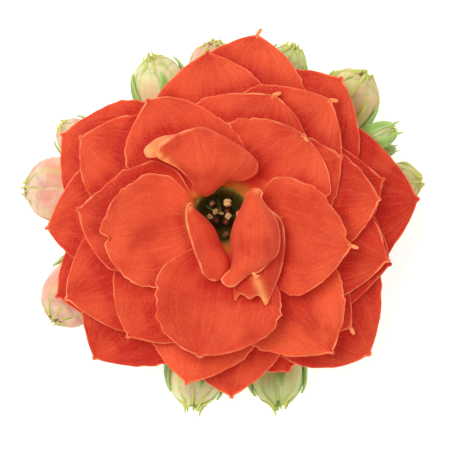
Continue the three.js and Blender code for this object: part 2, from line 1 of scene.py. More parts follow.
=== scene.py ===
# %% [markdown]
# # A double kalanchoe flower head
#
# The real thing is about 30 mm across: one open bloom of some thirty thin orange petals, lying face up
# over a ring of closed buds on a short cut stalk. The solid model gives every piece its place. Here each
# piece is dressed: the same petals, but thin, rippled and velvety, and buds that are wrapped in petals.
# The solid model is loaded first, and nothing in it is moved.

import json
import math

import bpy
import numpy as np
from mathutils import Matrix, Vector, noise

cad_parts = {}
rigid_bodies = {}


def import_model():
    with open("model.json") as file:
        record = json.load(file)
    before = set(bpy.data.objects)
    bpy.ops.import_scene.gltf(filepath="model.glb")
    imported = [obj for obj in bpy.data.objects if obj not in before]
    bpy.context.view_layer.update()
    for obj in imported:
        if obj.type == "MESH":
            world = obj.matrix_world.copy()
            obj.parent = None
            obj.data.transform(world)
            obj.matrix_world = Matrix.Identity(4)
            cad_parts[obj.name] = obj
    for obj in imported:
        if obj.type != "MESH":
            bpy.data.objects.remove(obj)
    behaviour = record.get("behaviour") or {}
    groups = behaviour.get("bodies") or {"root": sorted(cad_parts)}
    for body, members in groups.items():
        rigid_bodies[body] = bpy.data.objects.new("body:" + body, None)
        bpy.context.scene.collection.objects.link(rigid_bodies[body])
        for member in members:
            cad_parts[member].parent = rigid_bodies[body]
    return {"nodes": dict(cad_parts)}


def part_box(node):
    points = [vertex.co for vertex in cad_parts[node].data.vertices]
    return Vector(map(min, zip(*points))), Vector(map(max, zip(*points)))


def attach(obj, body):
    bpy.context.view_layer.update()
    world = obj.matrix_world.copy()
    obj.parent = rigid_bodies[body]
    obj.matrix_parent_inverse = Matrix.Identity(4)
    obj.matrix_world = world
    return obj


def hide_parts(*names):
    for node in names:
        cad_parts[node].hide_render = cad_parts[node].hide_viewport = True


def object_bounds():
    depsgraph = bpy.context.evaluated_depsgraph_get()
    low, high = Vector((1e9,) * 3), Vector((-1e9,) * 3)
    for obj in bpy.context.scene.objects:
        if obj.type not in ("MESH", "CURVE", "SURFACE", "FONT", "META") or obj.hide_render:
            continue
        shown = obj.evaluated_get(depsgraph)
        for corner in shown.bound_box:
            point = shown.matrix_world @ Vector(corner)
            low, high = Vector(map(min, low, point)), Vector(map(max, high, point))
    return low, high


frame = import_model()
solid_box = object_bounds()
low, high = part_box("bloom_calyx")
AXIS = Vector(((low.x + high.x) / 2, (low.y + high.y) / 2, 0))  # the line that the bloom is built round
print("solid model", [round((b - a) * 1000, 2) for a, b in zip(*solid_box)], "mm, axis at", AXIS)

# %% [markdown]
# ## The camera
#
# The photograph looks straight down on the bloom from far off, so that near and far petals keep the
# same scale. A long lens does that. The bloom is a little left of the middle of the picture and a
# little above it, and 33.75 mm fill the picture's width at the height of the petals.

# %% Camera
LENS, SENSOR = 500, 36
PICTURE_WIDTH = 0.03375  # metres across the picture at the height of the petals
PETAL_HEIGHT = 0.013
PICTURE_OFF_AXIS = (0.000225, -0.000675)  # from the bloom's axis to the middle of the picture
NEAREST, FURTHEST = 0.05, 5  # the camera sees what lies between these distances
picture_middle = AXIS + Vector((*PICTURE_OFF_AXIS, PETAL_HEIGHT))
camera_data = bpy.data.cameras.new("camera")
camera_data.lens, camera_data.sensor_width = LENS, SENSOR
camera = bpy.data.objects.new("camera", camera_data)
camera.location = picture_middle + Vector((0, 0, PICTURE_WIDTH * LENS / SENSOR))
camera_data.clip_start, camera_data.clip_end = NEAREST, FURTHEST
bpy.context.scene.collection.objects.link(camera)
bpy.context.scene.camera = camera
print("camera", round(camera.location.z * 1000), "mm above the surface")

# %% [markdown]
# ## Helpers for pieces
#
# At this size Blender's own distances are awkward, so every piece is modelled in millimetres round the
# bloom's axis at the middle of the world. `settle` then shrinks it to metres, carries it to the axis
# and leaves its object at the origin, with its place in its mesh.


# %% Settle a finished piece
PER_METRE = 1000  # millimetres in a metre


def select_only(piece):
    bpy.ops.object.select_all(action="DESELECT")
    piece.select_set(True)
    bpy.context.view_layer.objects.active = piece


def triangles(piece):
    piece.data.calc_loop_triangles()
    return len(piece.data.loop_triangles)


def settle(piece, name, nodes, slot, material):
    """Put a piece made in millimetres round the axis in its place, name it, give it its finish and hide the
    solids that it stands for.
    """
    piece.name = piece.data.name = name
    piece.data.transform(Matrix.Translation(AXIS) @ Matrix.Scale(1 / PER_METRE, 4) @ piece.matrix_basis)
    piece.matrix_basis = Matrix.Identity(4)
    piece.data.materials.clear()
    piece.data.materials.append(material)
    select_only(piece)
    bpy.ops.object.shade_smooth()
    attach(piece, "root")
    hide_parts(*nodes)
    print(name, triangles(piece), "triangles")


def join(pieces):
    """Several pieces as one object, the first one."""
    bpy.ops.object.select_all(action="DESELECT")
    for piece in pieces:
        piece.select_set(True)
    bpy.context.view_layer.objects.active = pieces[0]
    bpy.ops.object.join()
    return pieces[0]


# %% [markdown]
# ## Helpers for shaping
#
# Three steps come back in almost every piece: a modifier is added and applied, a filled circle is laid
# down to be extruded, and an extruded body gets its faces turned outwards. Each has a short helper.


# %% Modifiers and extruded circles
def apply(piece, kind, **settings):
    """Give the active piece a modifier with these settings, and apply it."""
    modifier = piece.modifiers.new(kind.lower(), kind)
    for name, value in settings.items():
        setattr(modifier, name, value)
    bpy.ops.object.modifier_apply(modifier=modifier.name)


def filled_circle(sides, radius, height=0):
    """A filled circle in edit mode, all selected, ready to extrude."""
    bpy.ops.object.select_all(action="DESELECT")
    bpy.ops.mesh.primitive_circle_add(vertices=sides, radius=radius, fill_type="NGON",
                                      location=(0, 0, height))
    bpy.ops.object.mode_set(mode="EDIT")
    bpy.ops.mesh.select_all(action="SELECT")
    return bpy.context.object


def faces_outwards():
    """Turn all faces of the piece in edit mode outwards, and leave edit mode."""
    bpy.ops.mesh.select_all(action="SELECT")
    bpy.ops.mesh.normals_make_consistent(inside=False)
    bpy.ops.object.mode_set(mode="OBJECT")


# %% [markdown]
# ## Helpers for blades
#
# Petals and sepals are all thin blades. Each starts as a flat grid primitive: its width runs from -1 at
# the right margin to 1 at the left one, and its length from 0 at the root to 1 at the tip. No operator
# bends a grid to a petal's outline and arch, so its points are placed by a formula instead. Points are
# closer together near the margins and the tip, where the form changes fast. Solidify gives the blade
# its thickness, less at the margins than in the middle.


# %% A blade from a grid
THINNING = 0.5  # how near to its margin a blade gets thinner, in millimetres
ON_MARGIN = 0.999  # a grid point past this share of the width or the length is on the margin


def smooth_step(start, end, value):
    t = np.clip((value - start) / (end - start), 0, 1)
    return t * t * (3 - 2 * t)


def blade(across, along, shape, thickness, marks, margin=0.4):
    """A blade whose points are shape(side, length), in millimetres, and whose margin has that share of its
    thickness. marks(side, length, edge, points) colours it: edge is each point's distance from the margin."""
    bpy.ops.object.select_all(action="DESELECT")
    bpy.ops.mesh.primitive_grid_add(x_subdivisions=across, y_subdivisions=along, size=2)
    piece = bpy.context.object
    mesh = piece.data
    flat = np.zeros(len(mesh.vertices) * 3)
    mesh.vertices.foreach_get("co", flat)
    flat = flat.reshape(-1, 3)
    side = np.sin(flat[:, 0] * np.pi / 2)
    length = (flat[:, 1] + 1) / 2
    points = np.stack(shape(side, length), axis=1)
    mesh.vertices.foreach_set("co", points.ravel())
    rim = points[(np.abs(flat[:, 0]) > ON_MARGIN) | (length > ON_MARGIN)]
    edge = np.min(np.linalg.norm(points[:, None] - rim[None], axis=2), axis=1)
    colours = np.stack(marks(side, length, edge, points), axis=1).astype(np.float32)
    mesh.attributes.new("marks", "FLOAT_COLOR", "POINT").data.foreach_set("color", colours.ravel())
    body = piece.vertex_groups.new(name="body")
    for index, weight in enumerate(np.clip(edge / THINNING, 0, 1)):
        body.add([index], float(weight), "REPLACE")
    apply(piece, "SOLIDIFY", thickness=thickness, offset=0, vertex_group=body.name,
          thickness_vertex_group=margin)
    piece.vertex_groups.clear()
    return piece


# %% [markdown]
# ## The petals' fan
#
# A petal's level is its place in the stack, from 0 for the lowest. Each level starts higher in the tube,
# stands steeper and droops more, as in the solid model, so a petal lies where its solid does. Thirty thin
# blades laid by hand would cut through each other. One formula for the height of them all keeps them apart.

# %% The fan's height
ROOT_RADIUS, SEAT, RISE = 2.35, 9.4, 0.5
TILT, TILT_PER_LEVEL = 8, 3
DROOP, DROOP_PER_LEVEL = 0.02, 0.0019
CUP = 0.24
HALF_BLADE = 0.34  # from the solid blade's under face to the middle of the thin petal
NECK_TOP = 13.1  # where the inner petals' claws bend outwards at the mouth of the tube


def fan_height(level, radius):
    out = radius - ROOT_RADIUS
    slope = math.tan(math.radians(TILT + TILT_PER_LEVEL * level))
    return SEAT + HALF_BLADE + RISE * level + slope * out - (DROOP + DROOP_PER_LEVEL * level) * out**2


print("the lowest petals leave the tube", round(fan_height(0, ROOT_RADIUS), 1), "mm above the surface")


# %% [markdown]
# ## One petal's outline
#
# Kalanchoe petals are broad ovals with a short point. A half width is the largest half width times a
# power of a sine, drawn towards the tip: `belly` is where along the petal it is widest, and `blunt` is
# 1 for a pointed end and less for a rounder one. Drawing each outline as a curve would take dozens of
# points, where these few numbers do. No real margin is that even, so each side is nicked and waved by noise
# of its own.


# %% Outline of a petal
def half_width(width, belly, blunt, share):
    swell = np.sin(np.pi * np.clip(share, 0, 1) ** (math.log(0.5) / math.log(belly)))
    return width * np.clip(swell, 0, 1) ** blunt


def noise_at(x, y, z):
    """Blender's noise, from -1 to 1, at many places."""
    return np.array([noise.noise(Vector((a, b, z))) for a, b in zip(x, y)])


NICKS = [(0.38, 0.5, 0), (0.18, 1.9, 9), (0.12, 3.4, 21)]  # depth, how many to a millimetre, shift


def wobble(seed, way, where):
    """Nicks and waves along a margin, in millimetres, at places that are also in millimetres."""
    return sum(depth * noise_at(where * scale, way, seed + shift) for depth, scale, shift in NICKS)


# %% [markdown]
# ## One petal's surface
#
# A petal comes up out of the tube as a narrow claw, bends outwards and then lies on the fan, with its
# margins turned down a little. All petals share one slow swell, so that they stay apart, and each has
# a few soft lumps, a shallow groove along its middle and ripples near its margins. Sculpting would give
# that too, but a formula does it for thirty petals at once, and a seed makes each a little different.


# %% Relief of a petal
RIPPLE, TURNED_DOWN, GROOVE, PLEAT = 0.16, 0.08, 0.07, 0.06  # how far each stands out, in millimetres
SHARED_SWELL, OWN_SWELL = (0.6, 0.26), (0.22, 0.45)  # height in millimetres, waves to a millimetre


def petal_relief(seed, side, length, share):
    """Ripples near the margins, which are turned down, a groove along the middle and pleats near the foot."""
    waves = 5 * (2.3 + 0.37 * (seed % 5))
    ripples = share * np.abs(side) ** 3 * np.sin(waves * length + seed * 2.1 + (side > 0) * 1.7)
    groove = np.exp(-((side / 0.14) ** 2)) * share * (1 - share)
    near_foot = smooth_step(0.1, 0.3, share) * (1 - smooth_step(0.35, 0.8, share))
    pleats = np.sin(side * (7 + seed % 3) + seed) * near_foot * (1 - side**2)
    return RIPPLE * ripples - TURNED_DOWN * np.abs(side) ** 8 * share - GROOVE * groove + PLEAT * pleats


def slow_swell(seed, x, y):
    """The slow swell that all petals share, and a smaller one of the petal's own."""
    (shared, wide), (own, narrow) = SHARED_SWELL, OWN_SWELL
    return shared * noise_at(x * wide, y * wide, 2) + own * noise_at(x * narrow, y * narrow, seed * 3.7)


# %% Surface of a petal
CLAW_WIDTH = 0.42  # as a share of the petal's own width there
CLAW_BEND, CLAW_IN = 1.9, 0.35  # how far from its root a claw bends outwards, and how far inwards it stands
CLAW_FOOT, FOOT_BEND = 1.2, 0.3  # how far its foot reaches down, and over what distance
TIP_WIDTH, POINT_WIDTH, POINT_LIFT = 0.015, 0.27, 0.4
TIP_DROP = 0.1


def petal_shape(seed, at, reach, left, right, level, left_belly=0.62, right_belly=0.62, left_blunt=0.8,
                right_blunt=0.8, claw=0.0, point=0.2, nicks=()):
    """A petal's surface. Each nick (across, depth, width) dents its end."""
    turn = math.radians(at)
    root = ROOT_RADIUS / reach

    def shape(side, length):
        share = root + (1 - root) * np.sin(length * np.pi / 2)
        half = np.where(side > 0, half_width(left, left_belly, left_blunt, share),
                        half_width(right, right_belly, right_blunt, share))
        ragged = smooth_step(0.3, 0.6, share) * (1 - share**8)
        half = half + wobble(seed, np.sign(side) * 4, share * reach) * ragged
        if claw:
            half = half * (CLAW_WIDTH + (1 - CLAW_WIDTH) * smooth_step(0.2, claw, share))
        end = smooth_step(0.92, 1, length)
        half = half + 0.3 * point * end * (1 - 0.6 * smooth_step(0.97, 1, length))
        across = side * np.maximum(half, TIP_WIDTH)
        finger = point * end * np.exp(-((across / POINT_WIDTH) ** 4))
        out = share * reach + finger
        for middle, depth, width in nicks:
            out = out - depth * smooth_step(0.7, 1, share) * np.exp(-(((across - middle) / width) ** 2))
        height = fan_height(level, np.hypot(out, across)) + CUP * side**2 * share
        if claw:
            bend = 1 - smooth_step(0, CLAW_BEND, out - ROOT_RADIUS)
            height = height + bend * (NECK_TOP + 0.1 * (level - 4) - fan_height(level, ROOT_RADIUS))
            height = height - CLAW_FOOT * (1 - smooth_step(0, FOOT_BEND, out - ROOT_RADIUS))
            out = out - CLAW_IN * bend
        height = height + petal_relief(seed, side, length, share)
        height = height - TIP_DROP * smooth_step(0.8, 1, share) + POINT_LIFT * finger
        x = out * math.cos(turn) - across * math.sin(turn)
        y = out * math.sin(turn) + across * math.cos(turn)
        return x, y, height + slow_swell(seed, x, y) * share

    return shape


# %% [markdown]
# ## Helpers for finishes
#
# Every finish is a Principled shader with a few nodes before it. Patterns are measured in millimetres,
# so a Mapping node first makes the object's metres a thousand times larger. The numbers that a blade
# keeps at its points, its `marks`, are read as an attribute.


# %% Nodes for finishes
COLOUR_A, COLOUR_B, COLOUR_RESULT = 6, 7, 2  # where a Mix node keeps its colour sockets
RAMP_SOCKETS = ("Value", "From Min", "From Max", "To Min", "To Max")


class Finish:
    """A material, its shader, and short names for the nodes that this scene uses."""

    def __init__(self, name, roughness, **sockets):
        self.material = bpy.data.materials.new(name)
        self.material.use_nodes = True
        self.shader = self.material.node_tree.nodes["Principled BSDF"]
        self.shader.inputs["Roughness"].default_value = roughness
        for socket, value in sockets.items():
            self.shader.inputs[socket.replace("_", " ")].default_value = value
        place = self.node("TexCoord")
        self.millimetres = self.stretch(place.outputs["Object"], (PER_METRE, PER_METRE, PER_METRE))
        self.uv = place.outputs["UV"]

    def node(self, kind, inputs=(), **settings):
        """A new node with its settings made and its inputs, (socket, value) pairs, fed."""
        node = self.material.node_tree.nodes.new("ShaderNode" + kind)
        for name, value in settings.items():
            setattr(node, name, value)
        for socket, value in inputs:
            self.feed(node.inputs[socket], value)
        return node

    def feed(self, socket, value):
        """Link an output to a socket, or set the socket to a number or a colour."""
        if hasattr(value, "links"):
            self.material.node_tree.links.new(value, socket)
        elif socket.type == "RGBA":
            socket.default_value = (*value, 1)
        else:
            socket.default_value = value

    def noise(self, scale, detail, vector=None):
        inputs = [("Scale", scale), ("Detail", detail), ("Vector", vector or self.millimetres)]
        return self.node("TexNoise", inputs).outputs["Fac"]

    def stretch(self, vector, scale):
        return self.node("Mapping", [("Scale", scale), ("Vector", vector)]).outputs["Vector"]

    def ramp(self, value, start, end, low=0.0, high=1.0):
        inputs = zip(RAMP_SOCKETS, (value, start, end, low, high))
        return self.node("MapRange", inputs, interpolation_type="SMOOTHSTEP").outputs["Result"]

    def math(self, operation, a, b):
        return self.node("Math", [(0, a), (1, b)], operation=operation).outputs["Value"]

    def mix(self, share, under, over):
        inputs = [("Factor", share), (COLOUR_A, under), (COLOUR_B, over)]
        return self.node("Mix", inputs, data_type="RGBA").outputs[COLOUR_RESULT]

    def tinted(self, colour, tints):
        """A colour with patterns over it. Each is (pattern, start, full, strength, tint)."""
        for pattern, start, end, strength, tint in tints:
            colour = self.mix(self.ramp(pattern, start, end, 0, strength), colour, tint)
        return colour

    def marks(self):
        """The four numbers kept at a blade's points: edge, base, tip and tone."""
        kept = self.node("Attribute", attribute_name="marks")
        split = self.node("SeparateColor", [("Color", kept.outputs["Color"])])
        return (*split.outputs, kept.outputs["Alpha"])

    def bump(self, height, distance, strength):
        inputs = [("Strength", strength), ("Distance", distance), ("Height", height)]
        self.feed(self.shader.inputs["Normal"], self.node("Bump", inputs).outputs["Normal"])

    def painted_glow(self, colour, strength):
        """A painted glow: the surface gives off light of this colour and strength, standing in for light
        through thin flesh.
        """
        self.feed(self.shader.inputs["Emission Color"], colour)
        self.feed(self.shader.inputs["Emission Strength"], strength)

    def colour(self, value):
        self.feed(self.shader.inputs["Base Color"], value)
        return self.material


# %% [markdown]
# ## The petals' velvet
#
# The petal's skin is a coat of tiny round cells, so it looks velvety: matt, with a fine grain and no sharp
# highlight; the pale specks of the grain are painted sparkle. The colour is an even orange-red with faint
# streaks along the petal, an olive tint down in the throat, a thin pale margin, which is partly paler tissue
# and partly painted highlight, and small yellow points. All of it has a painted red glow, strongest at the
# margins and points, which keeps its shade red.
# The grain is measured in the object's own space, but the streaks follow each petal, so they are noise
# on its UV map, which is stretched along the petal.

# %% Velvet finish
# PAINTED_GLOW_RED is the colour of the petals' painted glow, which lifts their shade to red
DEEP_ORANGE, BRIGHT_ORANGE, PAINTED_GLOW_RED = (0.41, 0.018, 0.008), (0.73, 0.112, 0.036), (1.0, 0.02, 0.01)
MARGIN, POINT = (0.93, 0.31, 0.13), (0.95, 0.42, 0.13)
THROAT_GREEN, CLAW = (0.32, 0.15, 0.015), (0.52, 0.18, 0.018)


def velvet():
    finish = Finish("petal velvet", 0.7, Specular_IOR_Level=0.15, Sheen_Weight=0.04, Sheen_Roughness=0.5,
                    Subsurface_Weight=0.35, Subsurface_Radius=(1.0, 0.2, 0.08), Subsurface_Scale=0.0006)
    edge, base, tip, tone = finish.marks()
    grain = finish.noise(9, 2)
    patches = finish.noise(0.35, 3)
    fading = finish.noise(0.8, 2)
    streaks = finish.noise(1, 3, finish.stretch(finish.uv, (42, 2.2, 1)))
    veins = finish.noise(1, 2, finish.stretch(finish.uv, (15, 1.1, 1)))
    # The tone mark mixes bright and deep orange; it holds each petal's own tone and its painted shade
    colour = finish.tinted(finish.mix(tone, BRIGHT_ORANGE, DEEP_ORANGE), [
        (patches, 0.45, 0.7, 0.65, DEEP_ORANGE),
        (patches, 0.52, 0.3, 0.45, BRIGHT_ORANGE),
        (veins, 0.5, 0.72, 0.18, DEEP_ORANGE),
        (streaks, 0.45, 0.75, 0.12, MARGIN),
        # pale specks of the grain: painted sparkle of the velvet's cells
        (grain, 0.5, 0.8, 0.22, MARGIN),
        (grain, 0.5, 0.2, 0.30, DEEP_ORANGE),
    ])
    colour = finish.mix(base, colour, finish.mix(finish.ramp(patches, 0.4, 0.6), CLAW, THROAT_GREEN))
    # The pale margin is partly the margin's own paler tissue and partly a painted highlight on its edge
    rim = finish.math("MULTIPLY", edge, finish.ramp(fading, 0.35, 0.65, 0.25, 0.95))
    colour = finish.mix(rim, colour, MARGIN)
    colour = finish.mix(tip, colour, POINT)
    # Painted glow: the whole petal gives off a little red light, and its margins and points their pale colour
    pale = finish.math("MULTIPLY", finish.math("MAXIMUM", rim, tip), 0.7)
    finish.painted_glow(finish.mix(pale, PAINTED_GLOW_RED, MARGIN), 0.15)
    finish.bump(finish.math("ADD", grain, finish.math("MULTIPLY", streaks, 0.6)), 0.00003, 0.6)
    return finish.colour(colour)


petal_velvet = velvet()
print("finish", petal_velvet.name)

# %% [markdown]
# ## The thirty plain petals
#
# Each row is one petal: its direction round the axis in degrees, its reach, its half widths on its left and
# right side, its level, and its tone, which is how deep its orange is. A tone is partly the petal's own and
# partly
# painted light and shade: petals that lie in shade have deeper tones, and ones turned to the light paler
# ones.
# Some have a claw, which ends at that share of the petal, or nicks in their end, or a finger: the direction
# that a longer point bends to. They were read off the photograph one after another, from the ring that lies
# lowest to the ones round the throat, because no rule gives a real bloom's petals.

# %% Rows of petals
PETALS = [
    dict(at=5, reach=14.8, left=6.0, right=5.4, level=0, tone=1.0),
    dict(at=206, reach=13.8, left=4.5, right=4.2, level=0, tone=0.5),
    dict(at=293, reach=12.6, left=3.4, right=3.4, level=0, tone=0.5, left_blunt=0.5, right_blunt=0.5),
    dict(at=317, reach=15.2, left=5.8, right=4.9, level=0.2, tone=0.7, right_blunt=0.6),
    dict(at=153, reach=13.5, left=5.6, right=5.2, level=0.3, tone=0.5),
    dict(at=228, reach=14.4, left=5.0, right=4.8, level=0.4, tone=1.0),
    dict(at=49, reach=13.7, left=5.2, right=5.2, level=0.9, tone=0.65),
    dict(at=184, reach=13.2, left=4.2, right=5.0, level=1.2, tone=0.55, left_blunt=0.9),
    dict(at=273, reach=13.6, left=4.5, right=3.8, level=1.2),
    dict(at=344, reach=13.1, left=4.6, right=5.4, level=1.2, tone=0.8),
    dict(at=319, reach=12.8, left=3.0, right=3.0, level=1.4, tone=0.7, finger=-60),
    dict(at=79, reach=13.9, left=5.0, right=5.1, level=1.6, tone=0.2, finger=58),
    dict(at=13, reach=12.4, left=4.0, right=5.0, level=1.6, tone=0.75, left_blunt=1),
    dict(at=208, reach=13.2, left=5.2, right=3.8, level=2, tone=0.65),
    dict(at=345, reach=12.8, left=4.6, right=4.4, level=2.2, tone=0.75, point=0.3),
    dict(at=151, reach=12.1, left=4.2, right=4.2, level=2.4, tone=0.6),
    dict(at=258, reach=12.8, left=4.7, right=4.0, level=2.4, tone=0.0),
    dict(at=95, reach=12.3, left=4.6, right=4.6, level=2.6, tone=0.3),
    dict(at=47, reach=11.9, left=5.2, right=4.2, level=2.8, finger=-5),
    dict(at=309, reach=13.1, left=4.1, right=4.3, level=3.2, tone=0.1),
    dict(at=6, reach=11.8, left=4.5, right=3.7, level=3.2, tone=0.65, left_blunt=0.7),
    dict(at=232, reach=11.4, left=4.6, right=4.1, level=3.4, tone=0.65),
    dict(at=26, reach=9.9, left=3.6, right=3.4, level=3.7, tone=0.7),
    dict(at=67, reach=9.8, left=5.4, right=4.1, level=4.0, right_blunt=0.6, claw=0.35, finger=20),
    dict(at=45, reach=8.6, left=4.4, right=4.6, level=4.4, left_blunt=0.7, right_belly=0.71, right_blunt=0.4,
         claw=0.35, finger=-58),
    dict(at=123, reach=10.2, left=4.2, right=4.3, level=4.8, tone=0.6, right_belly=0.38, right_blunt=0.5,
         claw=0.35),
    dict(at=177, reach=10.7, left=4.8, right=3.7, level=5.2, tone=0.6, left_blunt=0.6, right_belly=0.5,
         right_blunt=1, claw=0.35),
    dict(at=347, reach=9.9, left=4.0, right=4.6, level=5.4, left_belly=0.47, claw=0.35, finger=-18,
         nicks=[(0.5, 0.3, 0.3)]),
    dict(at=187, reach=9.1, left=4.7, right=3.7, level=5.8, tone=0.35, left_blunt=0.5, right_belly=0.53,
         right_blunt=0.6, claw=0.42, point=0.1, nicks=[(0.6, 0.5, 0.3), (-1.1, 0.15, 0.3)]),
    dict(at=261, reach=10.5, left=5.5, right=4.1, level=6.3, tone=0.6, left_blunt=0.6, right_belly=0.6,
         right_blunt=0.5, claw=0.42),
]
print(len(PETALS), "petals in rows")

# %% [markdown]
# ## Rods
#
# Petal points, rolled margins, threads and styles are all thin round rods. A curve object with a bevel
# could be one, but a circle extruded along a smooth curve stays a plain closed mesh, which joins the
# other pieces and can carry marks. The curve runs through places that are given in millimetres.


# %% A rod along a curve
STEPS = 6  # how many extrusions lead from one place to the next


def along_curve(places, t):
    """Points at t, from 0 to 1, of a smooth curve through the places."""
    places = np.array(places, float)
    padded = np.concatenate([[2 * places[0] - places[1]], places, [2 * places[-1] - places[-2]]])
    step = t * (len(places) - 1)
    k = np.minimum(step.astype(int), len(places) - 2)
    f = (step - k)[:, None]
    a, b, c, d = (padded[k + i] for i in range(4))
    return 0.5 * (2 * b + (c - a) * f + (2 * a - 5 * b + 4 * c - d) * f**2 + (3 * b - a - 3 * c + d) * f**3)


def rod(places, radii, sides=10):
    """A round rod along a smooth curve through the places, from a circle extruded along it."""
    steps = np.linspace(0, 1, STEPS * (len(places) - 1) + 1)
    line = [Vector(place) for place in along_curve(places, steps)]
    radius = np.interp(steps, np.linspace(0, 1, len(radii)), radii)
    piece = filled_circle(sides, 1)
    for _ in line[1:]:
        bpy.ops.mesh.extrude_region_move(TRANSFORM_OT_translate={"value": (0, 0, 1)})
    faces_outwards()
    for point in piece.data.vertices:
        k = round(point.co.z)
        ahead = (line[min(k + 1, len(line) - 1)] - line[max(k - 1, 0)]).normalized()
        flat = Vector((point.co.x, point.co.y, 0)) * radius[k]
        point.co = line[k] + ahead.to_track_quat("Z", "Y") @ flat
    return piece


def marked(piece, marks):
    """Keep a blade's four numbers, marks(place), at the points of another piece: edge, base, tip, tone."""
    layer = piece.data.attributes.new("marks", "FLOAT_COLOR", "POINT")
    for kept, point in zip(layer.data, piece.data.vertices):
        kept.color = marks(point.co)
    return piece


# %% [markdown]
# ## Petal points and rolled margins
#
# Where a petal's midrib ends, it runs out in a soft pale finger, hardly a millimetre long, that often
# bends aside. The folded petals also have margins that are rolled into a thin pale bead, which a blade's
# thin edge can't show, so both are rods.

# %% Points and beads
POINT_REACH, POINT_RISE, POINT_THICK = 0.62, 0.1, 0.14


def midrib(shape, length):
    """The place on a sheet's middle line at one length."""
    return Vector([float(v[0]) for v in shape(np.zeros(1), np.array([length]))])


def petal_point(shape, toward):
    """The finger at the tip of a petal's surface, bent toward a direction in degrees."""
    near, tip = midrib(shape, 0.9), midrib(shape, 1.0)
    way = Vector((math.cos(math.radians(toward)), math.sin(math.radians(toward)), POINT_RISE)) * POINT_REACH
    start = tip + (near - tip).normalized() * 0.5
    radii = [0.1, POINT_THICK, POINT_THICK * 1.1, POINT_THICK * 0.6]
    return marked(rod([start, tip, tip + way * 0.6, tip + way], radii, 8), lambda place: (0.6, 0, 0.65, 0.3))


def rolled_margin(thick, yellow, places):
    """A pale margin that is rolled into a thin bead, along a smooth curve."""
    bead = rod(places, [thick * 0.6, thick, thick, thick * 0.6], 8)
    return marked(bead, lambda place: (1, 0, yellow, 0))


# %% [markdown]
# ## What a petal keeps at its points
#
# Shade is painted into each petal: it is orange near its own margin and a deeper red away from it and close
# to the petals that lie over it, where shade falls between the layers. Each petal keeps how deep it is at
# every point, next to its pale margin, its yellow point and its olive foot. The outlines of the petals over
# it tell how close they are. Such marks cost no image, and they look the same from every side.

# %% Marks of a petal
def outline_of(shape):
    """A petal's outline from above, as points a quarter of a millimetre apart."""
    side = np.concatenate([np.full(40, -1.0), np.linspace(-1, 1, 12), np.full(40, 1.0)])
    length = np.concatenate([np.linspace(0.2, 1, 40), np.ones(12), np.linspace(1, 0.2, 40)])
    return np.stack(shape(side, length)[:2], axis=1)


# SHADE is painted shade: a petal is drawn deeper red where the margin of another lies over it
SHADE, SHADE_REACH = 0.85, 0.65  # how much deeper it is under the margin above it, and how far that goes


def petal_marks(tone=0.4, pale=(0.9, 0.9), yellow=(), throat=(2.5, 3.1), rim=0.13, painted_inward_shade=0.0, above=None):
    """Marks of a petal: its tone, which holds painted light and shade as well as its own depth, how pale its
    right and left margins are, where it is yellow (x, y, radius, strength), the radii between which the
    throat's green ends, the width of its pale margin, how much painted shade deepens it away from that
    margin, and the outlines of the petals above it, under whose margins it gets more painted shade."""

    def marks(side, length, edge, points):
        margin = np.where(side > 0, pale[1], pale[0]) * (1 - smooth_step(0.02, rim, edge))
        base = 1 - smooth_step(*throat, np.hypot(points[:, 0], points[:, 1]))
        tip = smooth_step(0.965, 1, length) * (1 - smooth_step(0.1, 0.5, np.abs(side))) * (not yellow)
        for x, y, spread, strength in yellow:
            near = np.exp(-((points[:, 0] - x) ** 2 + (points[:, 1] - y) ** 2) / spread**2)
            tip = np.maximum(tip, strength * near)
        # Painted shade: deeper red away from the margin, and more near the margins of the petals above
        depth = tone + painted_inward_shade * (smooth_step(0.5, 3.5, edge) - 0.4)
        if above is not None:
            gap = np.min(np.linalg.norm(points[:, None, :2] - above[None], axis=2), axis=1)
            depth = depth + SHADE * np.exp(-((gap / SHADE_REACH) ** 1.4))
        return margin, base, tip, np.clip(depth, 0, 1)

    return marks


# %% [markdown]
# ## The four folded petals
#
# The petals over the throat are folded: one stands up like a wing behind it, one is humped over it in
# front, a toothed one lies under that, and a small strap hangs on the left. A formula can't give such
# forms, and pulling a grid about by hand can't be written down, so each is a net of points that a smooth
# sheet is drawn over: rows from the root to the tip, and in each row five points from the right margin to
# the left one. Smooth curves through the net place the grid's points.


# %% A sheet over a net
def net_shape(net, teeth=()):
    """A sheet over a net. Each tooth is (side, width, length) at the tip."""

    def shape(side, length):
        places = np.empty((len(side), 3))
        for step in np.unique(length):
            row = along_curve(np.array(net).reshape(len(net), -1), np.array([step]))[0].reshape(-1, 3)
            here = length == step
            places[here] = along_curve(row, (side[here] + 1) / 2)
        for middle, width, reach in teeth:
            places[:, 1] -= reach * smooth_step(0.8, 1, length) * np.exp(-(((side - middle) / width) ** 2))
        return places[:, 0], places[:, 1], places[:, 2]

    return shape


# %% [markdown]
# ## The wing
#
# The wing rises out of the back of the throat, widens and leans over it. Its upper left corner is rolled
# over in a cream lip that is wider than the fold, so the lip has a net of its own.

